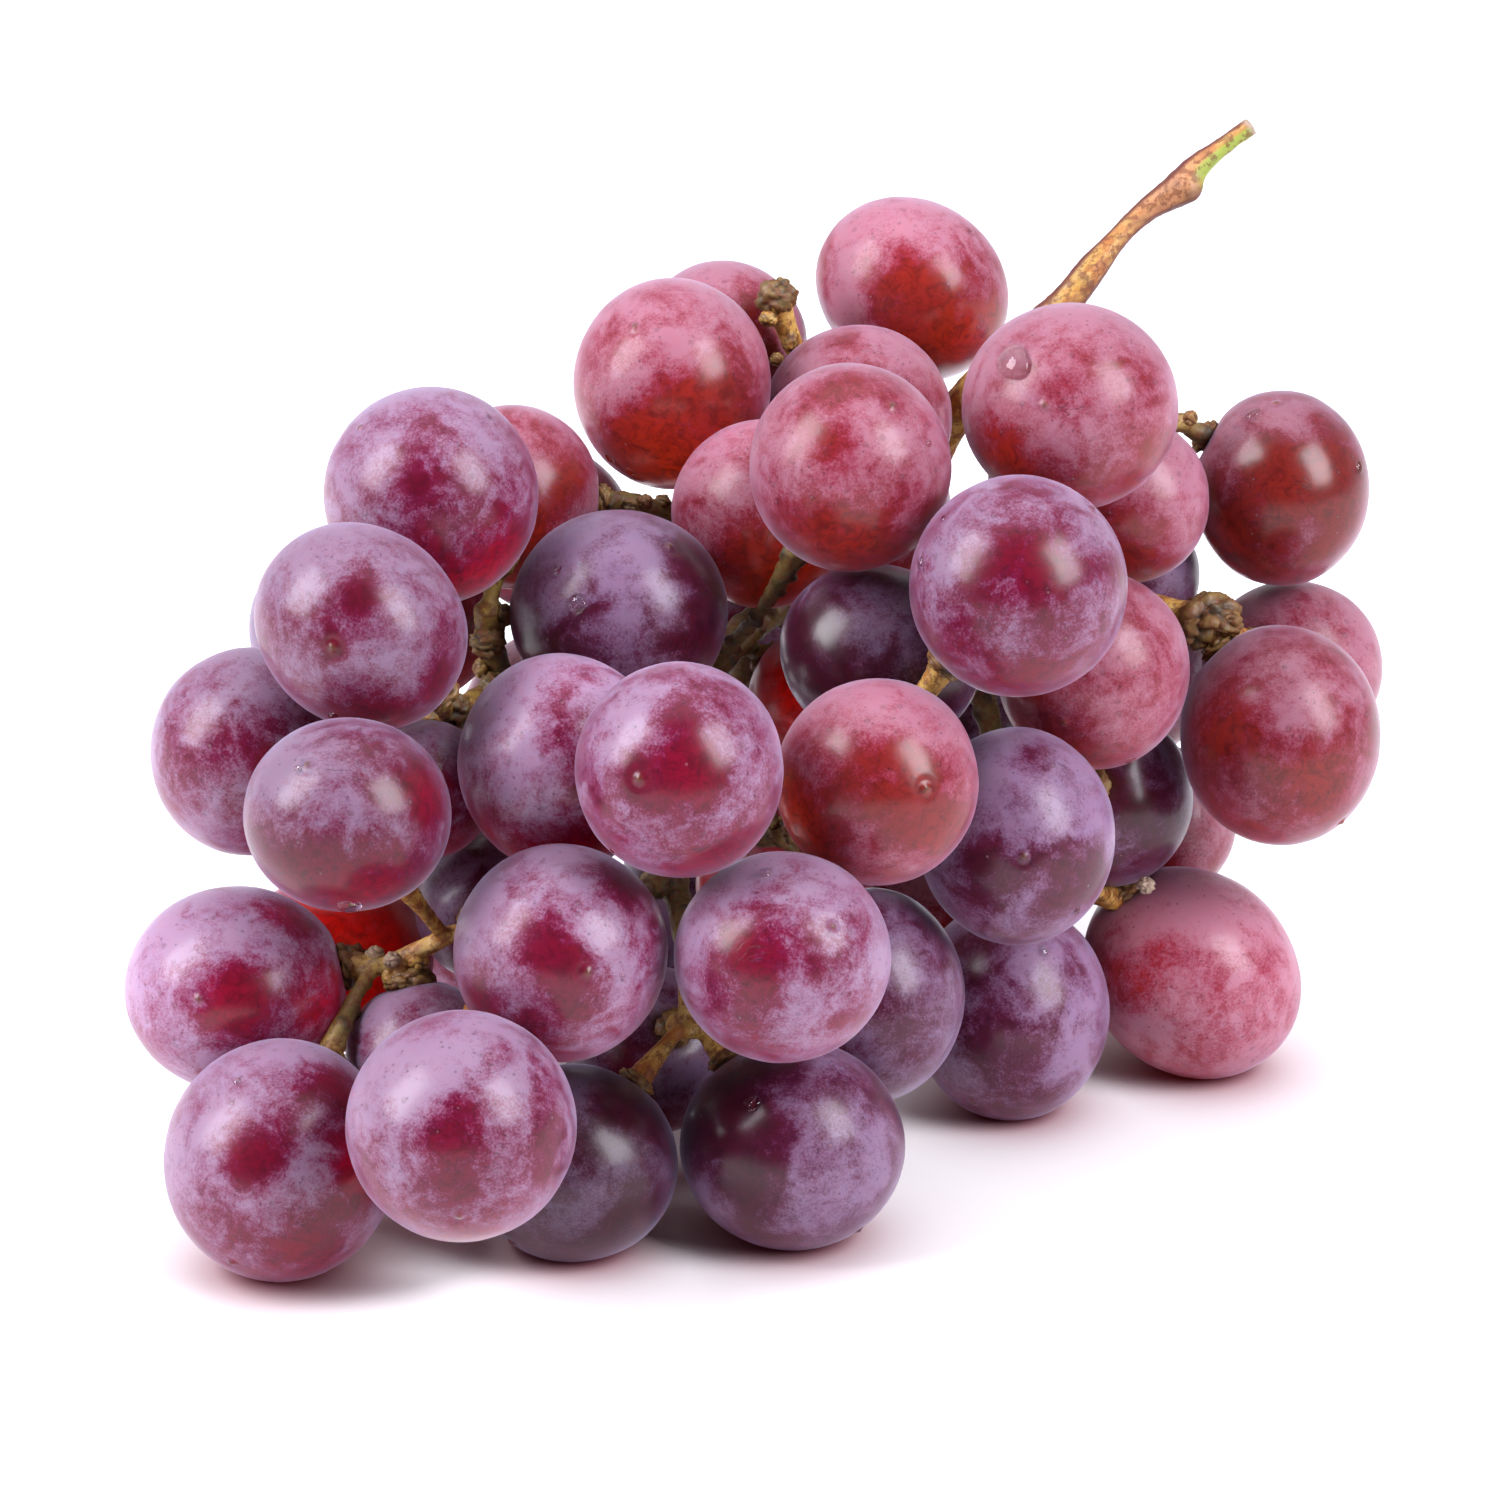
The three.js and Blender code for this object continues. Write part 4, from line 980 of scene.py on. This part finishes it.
def water_drop(number, across, up, radius):
    """Points of a lens on a grape: out along rings from its middle with a height that falls off like the
    root of one minus distance squared, then back below the skin."""
    grape = grapes[f"grape_{number:02d}"]
    middle = facing(across, up)
    reach = radius_of(grape, middle[None])[0]
    way = np.linspace(0, 2, DROP_RINGS + 2)[1:-1]
    out = np.minimum(way, 2 - way)
    height = np.where(way < 1, DROP_HEIGHT * radius * MM * np.sqrt(1 - out**2), 0) - DROP_SUNK * (way > 1)
    turn = np.arange(DROP_SIDES) * 2 * math.pi / DROP_SIDES
    outline = 1 + DROP_OVAL * np.cos(2 * turn + number) + DROP_LOBES * np.cos(3 * turn + 2 * number)
    ring = outline[:, None] * circle_about(middle, DROP_SIDES)
    spread = unit(middle + (out[:, None, None] * radius * MM / reach) * ring).reshape(-1, 3)
    lifted = radius_of(grape, spread) + np.repeat(height, DROP_SIDES)
    ends = middle * (reach + np.array([[DROP_HEIGHT * radius * MM], [-DROP_SUNK]]))
    return grape["centre"] + np.concatenate([ends[:1], spread * lifted[:, None], ends[1:]])


drop_points = np.concatenate([water_drop(*row) for row in DROPS])
per_drop = len(drop_points) // len(DROPS)
drop_faces = copies_of(globe_faces(DROP_RINGS, DROP_SIDES), len(DROPS), per_drop)
drops = mesh_piece("water_drops", drop_points, drop_faces)
water, tree, shader = new_material("water")
feed(tree, shader, WATER)
drops.data.materials.append(water)
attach(drops, "root")
print(len(DROPS), "drops")

# %% [markdown]
# ## The table and the light
# The bunch lies on a plain white surface that runs on into white air without an edge. Close to the lowest
# grapes, a painted contact shadow darkens the paper, tinted red as by the light that comes through them; it
# is painted on a fine grid there. Two large soft lamps stand at the left and right, high up, and give the
# broad pale lights on each grape, and a weak one hangs above. The air is white for the camera and dimmer for
# the grapes, dimmest on the camera's side, so that their middles stay deep in colour while their rims catch
# the light from behind.

# %% Floor
FLOOR_REACH, FINE_REACH, FINE_LINES = 3.0, 0.11, 181
FINE_GRID = np.linspace(-FINE_REACH, FINE_REACH, FINE_LINES)
FLOOR_LINES = np.concatenate([[-FLOOR_REACH], FINE_GRID, [FLOOR_REACH]])
# The paper near low grapes carries a painted contact shadow, tinted red as by light that comes through them;
# the reach says how far it spreads from a grape's skin.
LOW_GRAPE = 25 * MM  # a grape whose centre is lower than this tints the paper
CONTACT_SHADOW_REACH = 3.4 * MM  # how far from a grape's skin its red light still tints the paper
PAPER, RED_LIT_SHADOWED_PAPER = (0.90, 0.885, 0.895, 1), (0.30, 0.07, 0.11, 1)
PAPER_ROUGHNESS = 0.75


def contact_shadow_and_red_light_on(points):
    """How much painted contact shadow, tinted red as by light through the grapes, each point of the floor
    takes:
    e to the power of minus the distance from the nearest low grape over the reach."""
    contact_shadow_and_red_light = np.zeros(len(points))
    for grape in grapes.values():
        if grape["centre"][2] < LOW_GRAPE:
            spoke = points - grape["centre"]
            reach = np.linalg.norm(spoke, axis=1)
            gap = np.maximum(0, reach - radius_of(grape, spoke / reach[:, None]))
            contact_shadow_and_red_light = np.maximum(contact_shadow_and_red_light, np.exp(-gap / CONTACT_SHADOW_REACH))
    return contact_shadow_and_red_light


rows, columns = np.meshgrid(FLOOR_LINES, FLOOR_LINES, indexing="ij")
floor_points = np.stack([rows.ravel(), columns.ravel(), 0 * rows.ravel()], 1)
lines = len(FLOOR_LINES)
corner = (np.arange(lines - 1)[:, None] * lines + np.arange(lines - 1)).ravel()
floor_faces = np.stack([corner, corner + lines, corner + lines + 1, corner + 1], 1)
floor = mesh_piece("pale_floor", floor_points, floor_faces, {"contact_shadow_and_red_light": contact_shadow_and_red_light_on(floor_points)})
paper, tree, shader = new_material("pale_floor")
# Painted contact shadow, tinted red, on the paper near the lowest grapes.
feed(tree, shader, {"Base Color": blend(tree, mark(tree, "contact_shadow_and_red_light"), PAPER, RED_LIT_SHADOWED_PAPER),
                    "Roughness": PAPER_ROUGHNESS})
floor.data.materials.append(paper)
print(len(floor_faces), "squares of floor")

# %% Lamps and air
LAMP_TARGET = np.array([0, 0, 0.04])
LAMP_COLOUR, AIR_COLOUR, WHITE = (0.95, 0.95, 1.0), (0.95, 0.96, 1, 1), (1, 1, 1, 1)
SEEN_STRENGTH = 1.15
AIR_BEFORE, AIR_BEHIND = 0.12, 0.75  # strength on the camera's side, and behind the bunch


def soft_lamp(name, place, wide, high, power):
    """A rectangular lamp at place, turned to face the bunch."""
    light = bpy.data.lights.new(name, "AREA")
    light.shape, light.size, light.size_y, light.energy = "RECTANGLE", wide, high, power
    light.color = LAMP_COLOUR
    lamp = bpy.data.objects.new(name, light)
    bpy.context.scene.collection.objects.link(lamp)
    lamp.location = place
    back = unit(np.array(place, float) - LAMP_TARGET)
    side = unit(np.cross([0, 0, 1.0], back))
    turn = np.stack([side, np.cross(back, side), back], 1)
    lamp.rotation_euler = Matrix(turn.tolist()).to_euler()


soft_lamp("left_window", (-1.00, -0.30, 0.78), 0.6, 1.0, 31.0)
soft_lamp("right_window", (0.90, -0.58, 0.82), 0.6, 0.95, 30.0)
soft_lamp("top_sky", (0.0, 0.08, 1.1), 1.0, 0.8, 4.5)

air = bpy.data.worlds.new("white_air")
bpy.context.scene.world = air
air.use_nodes = True
tree = air.node_tree
tree.nodes.clear()
look = node(tree, "ShaderNodeLightPath").outputs["Is Camera Ray"]
way = node(tree, "ShaderNodeTexCoord").outputs["Generated"]
behind = node(tree, "ShaderNodeSeparateXYZ", {0: way}).outputs[1]
strength = stretch(tree, behind, -0.2, 0.6, AIR_BEFORE, AIR_BEHIND)
seen = node(tree, "ShaderNodeBackground", {"Color": WHITE, "Strength": SEEN_STRENGTH})
felt = node(tree, "ShaderNodeBackground", {"Color": AIR_COLOUR, "Strength": strength})
mixed = node(tree, "ShaderNodeMixShader", {0: look, 1: felt.outputs[0], 2: seen.outputs[0]})
node(tree, "ShaderNodeOutputWorld", {0: mixed.outputs[0]})
bpy.context.scene.view_settings.view_transform = "Standard"
print("three lamps and the air")
